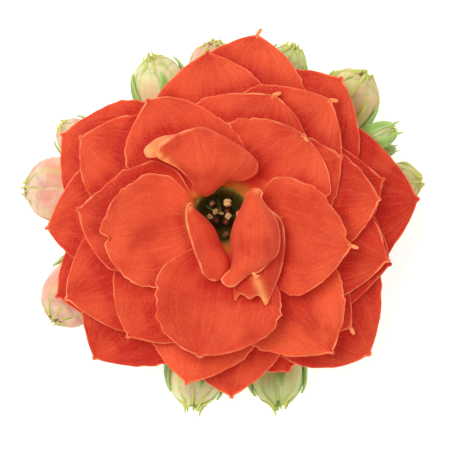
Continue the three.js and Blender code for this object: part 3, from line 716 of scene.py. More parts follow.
# %% The wing behind the throat, and its rolled lip
WING = [
    [(-0.35, 2.1, 12.2), (-0.75, 1.8, 12.2), (-1.25, 1.6, 12.2), (-1.7, 1.75, 12.2), (-2.1, 2.1, 12.2)],
    [(-0.1, 2.3, 13.9), (-0.7, 1.95, 14.0), (-1.25, 1.7, 14.0), (-1.75, 1.9, 14.0), (-2.15, 2.35, 13.9)],
    [(0.5, 2.7, 14.9), (-0.2, 2.7, 15.3), (-0.9, 2.65, 15.4), (-1.65, 2.65, 15.3), (-2.45, 2.8, 15.0)],
    [(1.6, 2.7, 14.8), (0.55, 3.4, 15.9), (-0.8, 3.7, 16.3), (-2.05, 3.6, 16.0), (-3.3, 3.6, 15.8)],
    [(2.5, 3.15, 14.5), (1.15, 4.3, 15.9), (-0.85, 4.9, 16.6), (-2.75, 4.6, 16.2), (-4.55, 4.2, 16.4)],
    [(2.65, 3.9, 14.6), (1.4, 4.95, 15.8), (-0.95, 6.0, 16.6), (-3.0, 5.3, 16.4), (-4.85, 4.55, 16.8)],
    [(2.3, 4.4, 14.2), (0.85, 5.4, 15.2), (-1.3, 6.55, 16.0), (-3.1, 6.2, 16.9), (-4.65, 5.2, 17.2)],
]
LIP = [
    [(-3.2, 6.05, 16.7), (-3.7, 5.75, 16.8), (-4.2, 5.35, 16.85), (-4.55, 4.95, 16.7), (-4.85, 4.4, 16.3)],
    [(-3.8, 5.98, 16.4), (-4.2, 5.75, 16.5), (-4.65, 5.35, 16.5), (-5.0, 4.9, 16.4), (-5.15, 4.35, 16.2)],
    [(-4.35, 5.9, 16.1), (-4.75, 5.68, 16.3), (-5.15, 5.35, 16.3), (-5.4, 4.9, 16.2), (-5.4, 4.35, 16.0)],
    [(-5.0, 5.6, 15.8), (-5.35, 5.35, 15.9), (-5.65, 5.1, 15.9), (-5.8, 4.75, 15.9), (-5.6, 4.4, 15.8)],
]
print("wing and lip", len(WING), "and", len(LIP), "rows")

# %% [markdown]
# ## The hump and the toothed petal
#
# The hump is a petal folded lengthwise like a saddle: its middle is its highest line. Its root is narrow
# and lies right of the throat, and its tip curls to the left. The toothed petal is flatter, lies under it
# and shows three teeth past its tip, which are pulled out of the sheet's end by a formula.

# %% The hump in front of the throat
HUMP = [
    [(1.95, 1.5, 14.6), (2.1, 1.8, 15.6), (2.35, 2.0, 16.0), (2.75, 1.95, 15.9), (3.05, 1.7, 15.4)],
    [(1.7, 1.15, 14.8), (1.95, 1.25, 16.0), (2.3, 1.35, 16.4), (2.65, 1.4, 16.1), (2.85, 1.45, 15.7)],
    [(1.35, 0.35, 14.6), (1.75, 0.45, 16.1), (2.3, 0.55, 16.8), (2.9, 0.6, 16.5), (3.35, 0.65, 15.8)],
    [(0.9, -0.6, 14.4), (1.55, -0.5, 16.2), (2.4, -0.35, 17.1), (3.25, -0.3, 16.8), (4.0, -0.2, 15.9)],
    [(0.65, -1.8, 14.3), (1.4, -1.7, 16.3), (2.4, -1.65, 17.3), (3.4, -1.6, 17.0), (4.3, -1.45, 15.9)],
    [(0.8, -3.15, 14.8), (1.5, -3.1, 16.3), (2.4, -3.0, 17.1), (3.3, -2.95, 16.8), (4.15, -2.75, 16.0)],
    [(0.6, -4.1, 15.2), (1.3, -4.05, 16.2), (2.1, -3.8, 16.6), (2.85, -3.65, 16.5), (3.5, -3.4, 16.0)],
    [(-0.1, -4.75, 15.4), (0.55, -5.25, 15.7), (1.25, -4.95, 16.0), (1.95, -4.3, 16.1), (2.75, -4.15, 16.1)],
]
print("hump", len(HUMP), "rows")

# %% The toothed petal under the hump
TOOTHED = [
    [(1.1, 0.3, 14.0), (1.7, 0.6, 14.3), (2.5, 0.75, 14.5), (3.1, 0.7, 14.6), (3.5, 0.6, 14.7)],
    [(1.1, -1.05, 14.2), (1.95, -0.9, 14.9), (2.85, -0.7, 15.2), (3.75, -0.45, 15.0), (4.45, -0.35, 14.6)],
    [(1.1, -2.55, 14.4), (1.95, -2.4, 15.1), (3.0, -2.25, 15.4), (3.9, -2.1, 15.2), (4.7, -1.95, 14.6)],
    [(1.0, -4.05, 14.6), (1.9, -4.05, 15.3), (2.85, -4.0, 15.6), (3.75, -3.8, 15.3), (4.5, -3.6, 14.7)],
    [(0.9, -5.15, 14.8), (1.65, -5.15, 15.5), (2.55, -5.1, 15.9), (3.3, -5.1, 15.5), (4.05, -5.0, 14.8)],
    [(0.95, -5.8, 14.9), (1.55, -5.85, 15.3), (2.35, -5.8, 15.6), (2.95, -6.0, 15.3), (3.6, -5.8, 14.9)],
]
TEETH = [(-0.95, 0.18, 0.5), (-0.15, 0.22, 0.42), (0.75, 0.2, 0.75)]
print("toothed petal", len(TOOTHED), "rows and", len(TEETH), "teeth")

# %% [markdown]
# ## The strap
#
# The strap is the smallest of them: a narrow petal on the left of the throat whose margins turn down, so
# that it looks like a tongue.

# %% The strap on the left
STRAP = [
    [(-2.6, 0.35, 14.3), (-2.5, 0.6, 14.6), (-2.4, 0.7, 14.7), (-2.3, 0.68, 14.5), (-2.15, 0.55, 14.1)],
    [(-2.7, -0.2, 14.7), (-2.4, -0.1, 15.0), (-2.05, 0.0, 15.0), (-1.7, 0.0, 14.6), (-1.4, -0.05, 14.0)],
    [(-2.5, -1.1, 14.9), (-2.0, -1.05, 15.3), (-1.5, -1.0, 15.4), (-1.05, -0.9, 15.0), (-0.6, -0.95, 14.0)],
    [(-2.15, -2.25, 15.0), (-1.6, -2.25, 15.4), (-1.05, -2.2, 15.5), (-0.55, -2.1, 15.1),
     (-0.1, -2.15, 14.1)],
    [(-1.7, -3.3, 15.1), (-1.2, -3.4, 15.4), (-0.6, -3.3, 15.5), (0.0, -3.25, 15.2), (0.4, -3.3, 14.6)],
    [(-1.45, -4.2, 15.1), (-1.05, -4.25, 15.3), (-0.55, -4.25, 15.3), (0.0, -4.2, 15.2), (0.4, -4.0, 14.9)],
    [(-1.15, -4.6, 15.0), (-0.8, -4.8, 15.1), (-0.45, -4.85, 15.1), (-0.1, -4.75, 15.0), (0.2, -4.4, 14.9)],
]
print("strap", len(STRAP), "rows")

# %% [markdown]
# ## Making the plain petals
#
# Each row becomes a surface first, because a petal's shade needs the outlines of all the petals above it.
# Then each surface becomes a blade. Thirty objects would be many to handle, so they are kept in three
# pieces by level, which all stand for the one solid corolla.

# %% Outlines of the petals
PETAL_THICKNESS = 0.3
ACROSS, ALONG = ((28, 60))
shapes = []
for seed, petal in enumerate(PETALS):
    outline = {key: value for key, value in petal.items() if key not in ("tone", "finger")}
    if "finger" in petal:
        outline["point"] = 0
    shapes.append(petal_shape(seed, **outline))
folded_shapes = [net_shape(net) for net in (WING, LIP, HUMP, TOOTHED, STRAP)]
outlines = [outline_of(shape) for shape in [*shapes, *folded_shapes]]
print(len(outlines), "outlines")

# %% Plain petals
RINGS = {"petals_outer": 0, "petals_middle": 1.5, "petals_inner": 3.9}  # each ring's lowest level
# Painted shade away from the margin: more on petals that others cover, less on the top ones, which nothing
# covers
PAINTED_SHADE_COVERED, PAINTED_SHADE_TOP = 0.35, 0.1  # how much deeper a petal's orange gets away from its margin
TOP_LEVEL = 5  # from this level on petals lie open to the light

made = {ring: [] for ring in RINGS}
for number, (petal, shape) in enumerate(zip(PETALS, shapes)):
    ring = [ring for ring, start in RINGS.items() if petal["level"] >= start][-1]
    painted_inward_shade = PAINTED_SHADE_COVERED if petal["level"] < TOP_LEVEL else PAINTED_SHADE_TOP
    marks = petal_marks(petal.get("tone", 0.4), painted_inward_shade=painted_inward_shade, above=np.concatenate(outlines[number + 1:]))
    made[ring].append(blade(ACROSS, ALONG, shape, PETAL_THICKNESS, marks))
    if "finger" in petal:
        made[ring].append(petal_point(shape, petal["finger"]))
for ring, blades in made.items():
    settle(join(blades), ring, ["bloom_corolla"], "petal", petal_velvet)

# %% [markdown]
# ## Making the folded petals
#
# The folded petals get the same velvet. What differs is where they are pale and yellow: the wing's fold
# and the toothed petal have yellow lines, the lip is cream all over, and none but the wing reaches down
# into the green of the throat. Their rolled margins are laid on as beads.

# %% Folded petals
FOLDED_ACROSS, FOLDED_ALONG = 36, 44
NO_THROAT = (0, 1)
WING_YELLOW = [(-4.75, 4.5, 0.3, 1), (-4.2, 4.1, 0.3, 0.8), (-3.65, 3.7, 0.3, 0.6)]
LIP_YELLOW = [(-5.3, 4.9, 0.6, 0.5), (-4.4, 5.3, 0.5, 0.3)]
TOOTHED_YELLOW = [(2.55 + 0.08 * k, -4.7 - 0.22 * k, 0.27, 0.6 + 0.03 * k) for k in range(9)]
hump_outline = outline_of(net_shape(HUMP))
FOLDED = [
    (WING, (), petal_marks(0.4, (0.7, 1), WING_YELLOW, (1.5, 2.2), 0.2)),
    (LIP, (), petal_marks(0, (1, 1), LIP_YELLOW, NO_THROAT, 3.5)),
    (HUMP, (), petal_marks(0.25, (0.5, 1), [(2.6, 1.85, 0.25, 0.5)], NO_THROAT, 0.2)),
    (TOOTHED, TEETH, petal_marks(0.4, (1, 1), TOOTHED_YELLOW, NO_THROAT, 0.3, above=hump_outline)),
    (STRAP, (), petal_marks(0.5, (1, 0), [(-2.55, 0.55, 0.25, 1)], NO_THROAT, 0.25)),
]
folded = [blade(FOLDED_ACROSS, FOLDED_ALONG, net_shape(net, teeth), PETAL_THICKNESS, marks)
          for net, teeth, marks in FOLDED]
print(len(folded), "folded blades")

# %% Their rolled margins
BEADS = [  # thickness, how yellow, and the places that each runs through
    (0.12, 0, [(-2.2, 0.85, 14.9), (-2.4, 0.95, 15.0), (-2.58, 0.65, 14.95), (-2.65, 0.05, 14.9),
               (-2.5, -0.9, 15.0), (-2.2, -1.95, 15.1), (-1.9, -2.9, 15.15), (-1.62, -3.6, 15.2),
               (-1.4, -4.35, 15.2)]),
    (0.08, 0, [(1.6, 0.9, 15.4), (1.78, 1.35, 15.7), (2.0, 1.72, 15.9), (2.35, 1.95, 16.0),
               (2.75, 1.97, 16.0), (2.98, 1.7, 15.9), (2.9, 1.4, 15.85), (3.1, 0.95, 15.9)]),
    (0.08, 0, [(0.62, -4.0, 15.3), (0.0, -4.7, 15.5), (0.35, -5.2, 15.7), (0.9, -5.2, 15.9),
               (1.5, -4.7, 16.1), (2.1, -4.25, 16.15), (2.75, -4.15, 16.15), (3.5, -3.42, 16.05),
               (4.12, -2.8, 16.05), (4.3, -1.9, 15.95)]),
    (0.14, 0.6, [(2.2, -4.1, 16.15), (2.45, -4.4, 16.2), (2.6, -4.7, 16.1)]),
    (0.11, 0.6, [(2.3, -4.3, 16.1), (2.5, -4.5, 16.15), (2.8, -4.45, 16.1)]),
]
folded += [rolled_margin(*bead) for bead in BEADS]
settle(join(folded), "petals_folded", ["bloom_corolla"], "petal", petal_velvet)

# %% [markdown]
# ## Green flesh
#
# The tube, the sepals and the stalk are all juicy green flesh: smooth, a little waxy, two greens in soft
# patches, and paler along the veins and margins. One function with their colours as its values keeps
# them alike. The throat has a faint painted glow, light that it gives off itself, which lifts the shade in
# the tube.


# %% A finish for flesh
def flesh(name, light, dark, margin, roughness, scale=0.9, through=0.0):
    """Green flesh: light and dark patches of that scale, faint veins, a pale margin and a painted glow as
    strong as through.
    """
    finish = Finish(name, roughness, Subsurface_Weight=0.2, Subsurface_Radius=(0.6, 1.0, 0.3),
                    Subsurface_Scale=0.0005)
    edge, *_ = finish.marks()
    patches = finish.noise(scale, 3)
    veins = finish.noise(1, 2, finish.stretch(finish.uv, (16, 1.2, 1)))
    colour = finish.tinted(light, [(patches, 0.35, 0.65, 1, dark), (veins, 0.5, 0.7, 0.4, margin)])
    colour = finish.mix(edge, colour, margin)
    # Painted glow in the margin colour, as strong as through
    finish.painted_glow(margin, through)
    finish.bump(finish.noise(6, 2), 0.00002, 0.5)
    return finish.colour(colour)


# The throat's painted glow lifts the shade down in the tube
throat_flesh = flesh("throat flesh", (0.20, 0.11, 0.012), (0.06, 0.07, 0.008), (0.40, 0.30, 0.035), 0.7,
                     through=0.018)
sepal_flesh = flesh("sepal flesh", (0.31, 0.53, 0.11), (0.18, 0.37, 0.05), (0.46, 0.68, 0.20), 0.5)
stalk_flesh = flesh("stalk flesh", (0.34, 0.46, 0.14), (0.22, 0.34, 0.07), (0.45, 0.55, 0.22), 0.4, 0.5)
print("finishes", throat_flesh.name, sepal_flesh.name, stalk_flesh.name)

# %% [markdown]
# ## The tube
#
# All the petals grow out of one fleshy tube, closed at its foot and open above. A circle is extruded and
# resized ring by ring, up the outside and down the inside to the floor of the throat, as on a lathe.
# Solidify would give it an even wall, but the real one is thick at its foot and thin at its mouth.

# %% Rings into a tube
OUTSIDE = [(1.7, 5.3), (2.1, 6.0), (2.35, 7.0), (2.5, 8.6), (2.7, 10.7), (2.6, 12.2), (2.3, 12.9)]
INSIDE = [(2.1, 12.9), (1.95, 12.6), (1.85, 12.0), (1.6, 11.0), (1.35, 9.0), (1.1, 8.6), (0.3, 8.5)]


def turned(rings, sides=48):
    """A closed body of rings (radius, height), made by extruding a circle from ring to ring."""
    piece = filled_circle(sides, *rings[0])
    for (before, low), (after, high) in zip(rings, rings[1:]):
        bpy.ops.mesh.extrude_region_move(TRANSFORM_OT_translate={"value": (0, 0, high - low)})
        bpy.ops.transform.resize(value=(after / before, after / before, 1))
    faces_outwards()
    piece.data.transform(piece.matrix_basis)
    piece.matrix_basis = Matrix.Identity(4)
    return piece


tube = marked(turned(OUTSIDE + INSIDE),
              lambda place: (0.15 * float(smooth_step(12.0, 12.8, place.z)), 0, 0, 0))
settle(tube, "corolla_tube", ["bloom_corolla"], "petal", throat_flesh)

# %% [markdown]
# ## In the throat
#
# Eight anthers stand at the mouth of the tube on thin threads: two dusty cream lobes each, the older ones
# orange-brown. One anther is modelled from a sphere with grooves pressed into it and crumbs of pollen on
# it, and copied to its eight places, each copy turned and sized a little differently.

# %% A dusty finish
GREEN_FOOT = (0.07, 0.08, 0.012)


def toned(piece, tone, base=0):
    return marked(piece, lambda place: (0, base, 0, tone))


def dust(name, light, dark, roughness=0.8, grain=14):
    """A dusty or fleshy finish: light where the tone is low, dark where it is high, green at the base."""
    finish = Finish(name, roughness)
    _, base, _, tone = finish.marks()
    speck = finish.noise(grain, 2)
    share = finish.math("ADD", finish.math("MULTIPLY", tone, 0.85), finish.ramp(speck, 0.35, 0.65, 0, 0.4))
    colour = finish.mix(base, finish.mix(share, light, dark), GREEN_FOOT)
    finish.bump(speck, 0.00005, 0.8)
    return finish.colour(colour)


pollen = dust("pollen", (0.84, 0.58, 0.20), (0.20, 0.06, 0.02), grain=5)
style_flesh = dust("style flesh", (0.11, 0.10, 0.02), (0.20, 0.035, 0.012), 0.5)
print("finishes", pollen.name, style_flesh.name)

# %% One anther
ANTHER_RADIUS, FLATTENED = 0.34, 0.9
LONG_GROOVE, CROSS_GROOVE, GROOVE_WIDTH = 0.35, 0.2, 0.07
CRUMBS, CRUMBS_PER_MM = 0.22, 7


def anther():
    """Two waisted lobes: a ball with a deep groove along it, a shallower one across and a crumbly skin."""
    bpy.ops.object.select_all(action="DESELECT")
    bpy.ops.mesh.primitive_uv_sphere_add(segments=28, ring_count=18, radius=ANTHER_RADIUS)
    piece = bpy.context.object
    for point in piece.data.vertices:
        long_groove = LONG_GROOVE * math.exp(-((point.co.y / GROOVE_WIDTH) ** 2))
        cross_groove = CROSS_GROOVE * math.exp(-((point.co.x / GROOVE_WIDTH) ** 2))
        crumbs = CRUMBS * noise.noise(point.co * CRUMBS_PER_MM)
        point.co = point.co * (1 - long_groove - cross_groove + crumbs)
        point.co.z *= FLATTENED
    return piece


def copied(piece, place, turns, size):
    """A copy of a piece, with its own mesh, sized, turned about X, Y and Z, and put at a place."""
    copy = piece.copy()
    copy.data = piece.data.copy()
    bpy.context.scene.collection.objects.link(copy)
    about_x, about_y, about_z = (Matrix.Rotation(turn, 3, axis) for turn, axis in zip(turns, "XYZ"))
    copy.data.transform(Matrix.LocRotScale(Vector(place), about_z @ about_x @ about_y, Vector(size)))
    return copy


one_anther = anther()
print("one anther", triangles(one_anther), "triangles")

# %% Anthers on their threads
ANTHERS = [  # x, y, height, how brown and how large
    (0.4, 1.0, 13.1, 0.0, 1.0), (-0.75, 0.95, 12.6, 0.9, 0.75), (-0.5, 0.32, 12.7, 0.35, 0.7),
    (-0.05, 0.2, 12.4, 0.5, 0.7), (0.45, 0.0, 12.7, 0.1, 0.8), (-0.92, -0.05, 13.0, 0.6, 0.75),
    (-0.95, -0.9, 12.5, 1.0, 0.9), (0.25, -1.4, 12.3, 0.95, 0.85)]
THREAD_FROM_AXIS, THREAD_FOOT, THREAD_MIDDLE = 1.6, 11, 11.9
THREAD_THICK = [0.11, 0.09]

pieces = []
for k, (x, y, top, brown, size) in enumerate(ANTHERS):
    turns = (0.8 * math.sin(k), 0.9 * math.cos(2 * k), k)
    width = size * (0.72 + 0.2 * math.cos(3 * k))
    pieces.append(toned(copied(one_anther, (x, y, top), turns, (size, width, size)), brown))
    root = THREAD_FROM_AXIS * Vector((x, y)).normalized()
    thread = rod([(*root, THREAD_FOOT), (x * 0.9, y * 0.9, THREAD_MIDDLE), (x, y, top)], THREAD_THICK)
    pieces.append(toned(thread, 0.3, 1))
bpy.data.objects.remove(one_anther)
settle(join(pieces), "stamens", ["bloom_stamens"], "anther", pollen)

# %% [markdown]
# ## Carpels
#
# Four carpels stand below the anthers: swollen green bottles whose necks lean outwards and end in a
# brown-red knob. Each is a rod that swells and narrows, with a small ball on its end.

# %% Carpels
STYLES = [(0.4, 0.35, 11.5), (-0.35, 0.45, 11.6), (-0.45, -0.35, 11.6), (0.3, -0.45, 11.5)]  # their tips
CARPEL_FROM_AXIS, CARPEL_HEIGHTS, CARPEL_THICK = 0.5, (8.65, 9.6, 10.4), [0.4, 0.5, 0.28, 0.16]
KNOB = 0.22

pieces = []
for k, (x, y, top) in enumerate(STYLES):
    turn = math.radians(45 + 90 * k)
    foot = Vector((math.cos(turn), math.sin(turn), 0)) * CARPEL_FROM_AXIS
    places = [(foot.x, foot.y, height) for height in CARPEL_HEIGHTS]
    pieces.append(toned(rod([*places, (x, y, top)], CARPEL_THICK), 0.4))
    bpy.ops.mesh.primitive_ico_sphere_add(subdivisions=2, radius=KNOB, location=(x, y, top))
    pieces.append(toned(bpy.context.object, 1.0))
settle(join(pieces), "carpels", ["bloom_carpels"], "carpel", style_flesh)

# %% [markdown]
# ## The buds
#
# A closed bud is an egg wrapped in petals that lie over each other like roof tiles, all turning one way.
# Their small points meet in a crown at the apex. Four narrow fleshy sepals clasp it from a small cup. Every
# bud is made by the same steps, on its own axis, with its own length, thickness and colour.
#
# Each row is one bud, in millimetres and degrees: where its apex is as seen from above, the way that it
# points, how steeply it climbs, its length and thickness, and its colour. `roll` turns its sepals about
# the bud, `sepals` is how far along it they reach, `spread` is half their width as an angle, and `gape` is
# how far the outer petals of an opening bud stand past the inner ones.

# %% Rows of buds
BUDS = [
    dict(name="left", apex=(-15.1, 2.2), toward=177, climb=12, length=7.4, thick=4.7, kind="pink", roll=0,
         sepals=0.62),
    dict(name="left_top", apex=(-12.2, 6.95), toward=138, climb=14, length=4.4, thick=2.7, kind="pink",
         roll=0),
    dict(name="lower_left", apex=(-12.9, -7.9), toward=232, climb=24, length=7.0, thick=4.3, kind="pink",
         roll=0, sepals=0.5),
    dict(name="upper_left", apex=(-5.4, 12.0), toward=108, climb=25, length=6.2, thick=3.7, kind="cream",
         roll=12, spread=30),
    dict(name="top", apex=(-0.6, 13.3), toward=92, climb=24, length=6.3, thick=3.85, kind="pink",
         sepals=0.6),
    dict(name="top_right", apex=(5.4, 12.9), toward=72, climb=26, length=5.6, thick=3.0, kind="green",
         roll=60, spread=32),
    dict(name="right_top", apex=(10.9, 10.8), toward=58, climb=30, length=7.0, thick=4.1, kind="olive",
         roll=75, sepals=0.8),
    dict(name="right_young", apex=(13.1, 6.6), toward=21, climb=20, length=3.9, thick=1.7, kind="green",
         sepals=1.12, spread=40),
    dict(name="right_tiny", apex=(13.2, 5.15), toward=14, climb=15, length=2.3, thick=0.8, kind="green",
         sepals=1.12, spread=40),
    dict(name="right", apex=(15.2, 2.7), toward=7, climb=15, length=6.3, thick=3.1, kind="olive",
         sepals=0.7, slot="cream"),
    dict(name="lower_right", apex=(9.6, -7.6), toward=322, climb=16, length=5.8, thick=3.3, kind="green"),
    dict(name="bottom", apex=(4.4, -14.3), toward=277, climb=20, length=6.9, thick=4.0, kind="green",
         roll=80, spread=32, gape=0.06),
    dict(name="bottom_left", apex=(-2.2, -14.3), toward=265, climb=22, length=6.8, thick=4.1, kind="cream",
         roll=75, spread=30, gape=0.07),
]
BUD_SLOTS = {"pink": "pink", "cream": "cream", "olive": "pink", "green": "green"}
print(len(BUDS), "buds in rows")

# %% A bud's axis and egg
BELLY = 0.58  # where along a bud it is thickest
SOLID_RINGS, THIN_SOLID_RINGS = (0.04, 0.28, 0.58, 0.82, 0.95), (0.04, 0.5, 0.82, 0.96)
THIN, FULL = 2, 2.6  # a bud thinner than these has fewer rings in its solid, or smaller small parts


class Bud:
    """A bud's axis, in millimetres. Its height comes from its solid, which is the same egg."""

    def __init__(self, name, apex, toward, climb, length, thick, kind, roll=45, sepals=0.9, spread=23,
                 slot=None, gape=0.0):
        self.name, self.length, self.radius, self.kind = name, length, thick / 2, kind
        self.roll, self.sepals, self.spread, self.gape = roll, sepals, spread, gape
        self.slot = "bud_" + (slot or BUD_SLOTS[kind])
        self.scale = min(1, thick / FULL)
        turn, rise = math.radians(toward), math.radians(climb)
        self.axis = Vector((math.cos(turn) * math.cos(rise), math.sin(turn) * math.cos(rise), math.sin(rise)))
        self.side = self.axis.cross(Vector((0, 0, 1))).normalized()
        self.up = self.side.cross(self.axis)
        self.foot = Vector((*apex, 0)) - self.axis * length
        around, along = np.meshgrid(np.arange(0, 360, 15), SOLID_RINGS if thick >= THIN else THIN_SOLID_RINGS)
        lowest = float(self.place(along, around, self.egg(along))[2].min())
        self.foot.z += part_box(f"bud_{name}_petals")[0].z * PER_METRE - lowest

    def egg(self, share):
        """The egg's radius at a share of the bud's length."""
        share = np.clip(share, 0, 1)
        below = 1 - 0.48 * (np.clip(BELLY - share, 0, 1) / BELLY) ** 2.2
        above = np.sqrt(1 - (np.clip(share - BELLY, 0, 1) / (1.01 - BELLY)) ** 2.4)
        return self.radius * np.where(share < BELLY, below, above)

    def place(self, share, degrees, radius):
        """Places round the axis, at an angle from its upper side."""
        turn = np.radians(degrees)
        return [self.foot[k] + share * self.length * self.axis[k] + radius * np.cos(turn) * self.up[k]
                + radius * np.sin(turn) * self.side[k] for k in range(3)]

    def stand(self, piece):
        """Carry a piece that was made upright at the middle of the world to the bud's foot and axis."""
        upright = self.axis.to_track_quat("Z", "Y").to_matrix().to_4x4()
        piece.data.transform(Matrix.Translation(self.foot) @ upright)
        return piece


buds = [Bud(**row) for row in BUDS]
print(len(buds), "buds, apex heights", [round(bud.foot.z + bud.length * bud.axis.z, 1) for bud in buds])

# %% [markdown]
# ## The buds' skin
#
# A bud's petals are smooth and waxy. The young ones are green, the older ones cream with a pink or orange
# flush, and all stay greener at the foot and along the margins. One finish with three colours for each
# kind does for all of them.

# %% Bud finishes
BUD_COLOURS = {  # light, flush and green
    "pink": ((0.88, 0.60, 0.42), (0.84, 0.36, 0.26), (0.72, 0.68, 0.34)),
    "cream": ((0.80, 0.80, 0.40), (0.80, 0.66, 0.36), (0.42, 0.66, 0.12)),
    "olive": ((0.74, 0.70, 0.28), (0.76, 0.46, 0.26), (0.52, 0.64, 0.15)),
    "green": ((0.64, 0.76, 0.32), (0.64, 0.64, 0.27), (0.28, 0.60, 0.09)),
}
BUD_POINT, BUD_HEART = (0.62, 0.64, 0.16), (0.26, 0.065, 0.03)


def bud_skin(kind):
    """Smooth waxy petal skin: the colour of its kind with a flush, greener at the foot and along the margins,
    yellow-green at the points, brown where the tone is high, at the heart, and a faint painted glow in its
    light colour."""
    light, flush, green = BUD_COLOURS[kind]
    finish = Finish("bud skin " + kind, 0.5, Specular_IOR_Level=0.3, Subsurface_Weight=0.3,
                    Subsurface_Radius=(0.8, 0.8, 0.4), Subsurface_Scale=0.0006)
    edge, base, tip, tone = finish.marks()
    streaks = finish.noise(1, 3, finish.stretch(finish.uv, (14, 1.0, 1)))
    patches = finish.noise(0.8, 3)
    freckles = finish.noise(8, 2)
    colour = finish.tinted(light, [
        (patches, 0.35, 0.65, 1, flush),
        (streaks, 0.48, 0.7, 0.45, green),
        (freckles, 0.45, 0.65, 0.4, flush),
    ])
    for mark, tint in ((base, green), (edge, green), (tip, BUD_POINT), (tone, BUD_HEART)):
        colour = finish.mix(mark, colour, tint)
    # Painted glow: the skin gives off a little light of its own colour, which lifts its shade
    finish.painted_glow(light, 0.04)
    finish.bump(finish.math("ADD", freckles, streaks), 0.00003, 0.5)
    return finish.colour(colour)


bud_skins = {kind: bud_skin(kind) for kind in BUD_COLOURS}
print("finishes", [skin.name for skin in bud_skins.values()])

# %% [markdown]
# ## The buds' petals
#
# Four outer petals and four inner ones wrap each egg. Each is a blade on the egg's surface, lifted at one
# side so that it lies over its neighbour, and twisted a little round the axis. Its midrib ends in a small
# free finger. Under them a core fills the bud and shows its brown heart where the petals part.

# %% Surface of a bud's petal
TWIST = 50  # degrees that a petal turns round its bud from foot to apex
OVERLAP, KEEL = 0.05, 0.05  # how far a petal's one side and its midrib are lifted, as shares of the radius
OPENING, CLOSED, CLOSED_VARIES = 0.1, 0.55, 0.25  # how far a petal's end bends in, as shares of the radius


def bud_petal(bud, centre, half_angle, start, end, inner, seed):
    """A closed petal's surface: it covers its part of the egg and has a round end."""
    closing = OPENING if bud.gape else CLOSED + CLOSED_VARIES * math.sin(2.4 * seed)

    def shape(side, length):
        share = start + (end - start) * length
        narrow = np.sqrt(1 - np.clip((length - 0.5) / 0.52, 0, 1) ** 2.6)
        radius = bud.egg(np.minimum(share, 0.995)) * (1 + OVERLAP * side * narrow) * inner
        radius = radius * (1 + KEEL * np.exp(-((side / 0.3) ** 2)) * smooth_step(0.3, 0.9, length))
        radius = radius + 0.03 * np.sin(9 * share + seed) * side
        radius = radius * (1 - closing * smooth_step(0.86, 1, length))
        angle = centre + TWIST * share + half_angle * side * (0.05 + 0.95 * narrow)
        return bud.place(share, angle, radius)

    return shape


def bud_marks(side, length, edge, points):
    pale = 0.75 * (1 - smooth_step(0.02, 0.16, edge)) * smooth_step(0.2, 0.5, length)
    keel = 0.55 * np.exp(-((side / 0.1) ** 2)) * smooth_step(0.5, 0.95, length)
    return pale, 0.8 * (1 - smooth_step(0.1, 0.6, length)), keel, np.zeros_like(side)


# %% Bud fingers
# For each kind: where along its petal a finger starts, how far it stands free, and its thickness
FINGERS = {
    "pink": (0.85, 0.3, 0.1),
    "cream": (0.82, 0.45, 0.11),
    "olive": (0.5, 0.25, 0.17),
    "green": (0.82, 0.4, 0.1),
}
LIFT = 0.2  # how far a finger stands off its petal


def bud_finger(bud, shape):
    """The small finger that a closed petal's midrib ends in. It starts on the petal, its tip stands free."""
    start, reach, thick = FINGERS[bud.kind]
    thick = thick * bud.scale
    places = []
    for length in (start, (start + 1) / 2, 1):
        place = midrib(shape, length)
        outward = place - bud.foot - bud.axis * (place - bud.foot).dot(bud.axis)
        lift = LIFT * smooth_step(start - 0.1, start + 0.2, length) * bud.scale
        places.append(place + outward.normalized() * lift)
    onward = (midrib(shape, 1) - midrib(shape, 0.92)).normalized() * 0.4 + bud.axis * 0.6
    places.append(places[-1] + onward.normalized() * reach * bud.scale)
    return marked(rod(places, [thick * 0.7, thick, thick, thick * 0.5], 6), lambda place: (0, 0, 1, 0))


# %% The core of a bud
CORE_RINGS = [0.06, 0.3, 0.55, 0.7, 0.8, 0.87, 0.92, 0.955, 0.975, 0.985]
CORE_SIZE, CORE_TOP = 0.84, 0.95  # its radius as a share of the egg's, and where it ends along the bud
HEARTS = {"pink": 0.3, "cream": 0.26, "olive": 0.26, "green": 0.26}  # brown within this share of the radius


def bud_core(bud):
    """The bud's closed inside: an egg with soft folds that run into its heart, which is brown."""
    rings = [(float(bud.egg(np.array(share))) * CORE_SIZE, share * bud.length) for share in CORE_RINGS]
    core = turned(rings + [(0.02, CORE_TOP * bud.length)], 40)
    for point in core.data.vertices:
        near = smooth_step(0.6, 1, point.co.z / bud.length)
        fold = 1 - 0.2 * near * abs(math.sin(2.5 * math.atan2(point.co.y, point.co.x) + bud.length))
        point.co = Vector((point.co.x * fold, point.co.y * fold, point.co.z))
    heart = HEARTS[bud.kind] * bud.radius

    def brown(place):
        inside = 1 - smooth_step(0.8 * heart, 1.2 * heart, place.xy.length)
        return 0, 0, 0.2, float(inside * (place.z > 0.8 * bud.length))

    return bud.stand(marked(core, brown))


# %% Bud petals
OUTER_ENDS = (1.0, 0.94, 0.99, 0.965)  # how far along the bud each outer petal reaches
INNER_ENDS = (0.985, 1.0, 0.96, 0.99)
OUTER = dict(half_angle=62, start=0.0, inner=1.0)
INNER = dict(half_angle=52, start=0.4, inner=0.93)

for number, bud in enumerate(buds):
    wraps = [bud_core(bud)]
    for k in range(4):
        outer_end, inner_end = OUTER_ENDS[(k + number) % 4] + bud.gape, INNER_ENDS[(k + number) % 4]
        over = bud_petal(bud, 90 * k, end=outer_end, seed=number + k, **OUTER)
        under = bud_petal(bud, 90 * k + 45, end=inner_end, seed=number - k, **INNER)
        wraps.append(blade(14, 24, over, 0.22 * bud.scale, bud_marks))
        wraps.append(blade(12, 18, under, 0.2 * bud.scale, bud_marks))
        wraps += [bud_finger(bud, over), bud_finger(bud, under)]
    settle(join(wraps), f"bud_{bud.name}_wraps", [f"bud_{bud.name}_petals"], bud.slot, bud_skins[bud.kind])

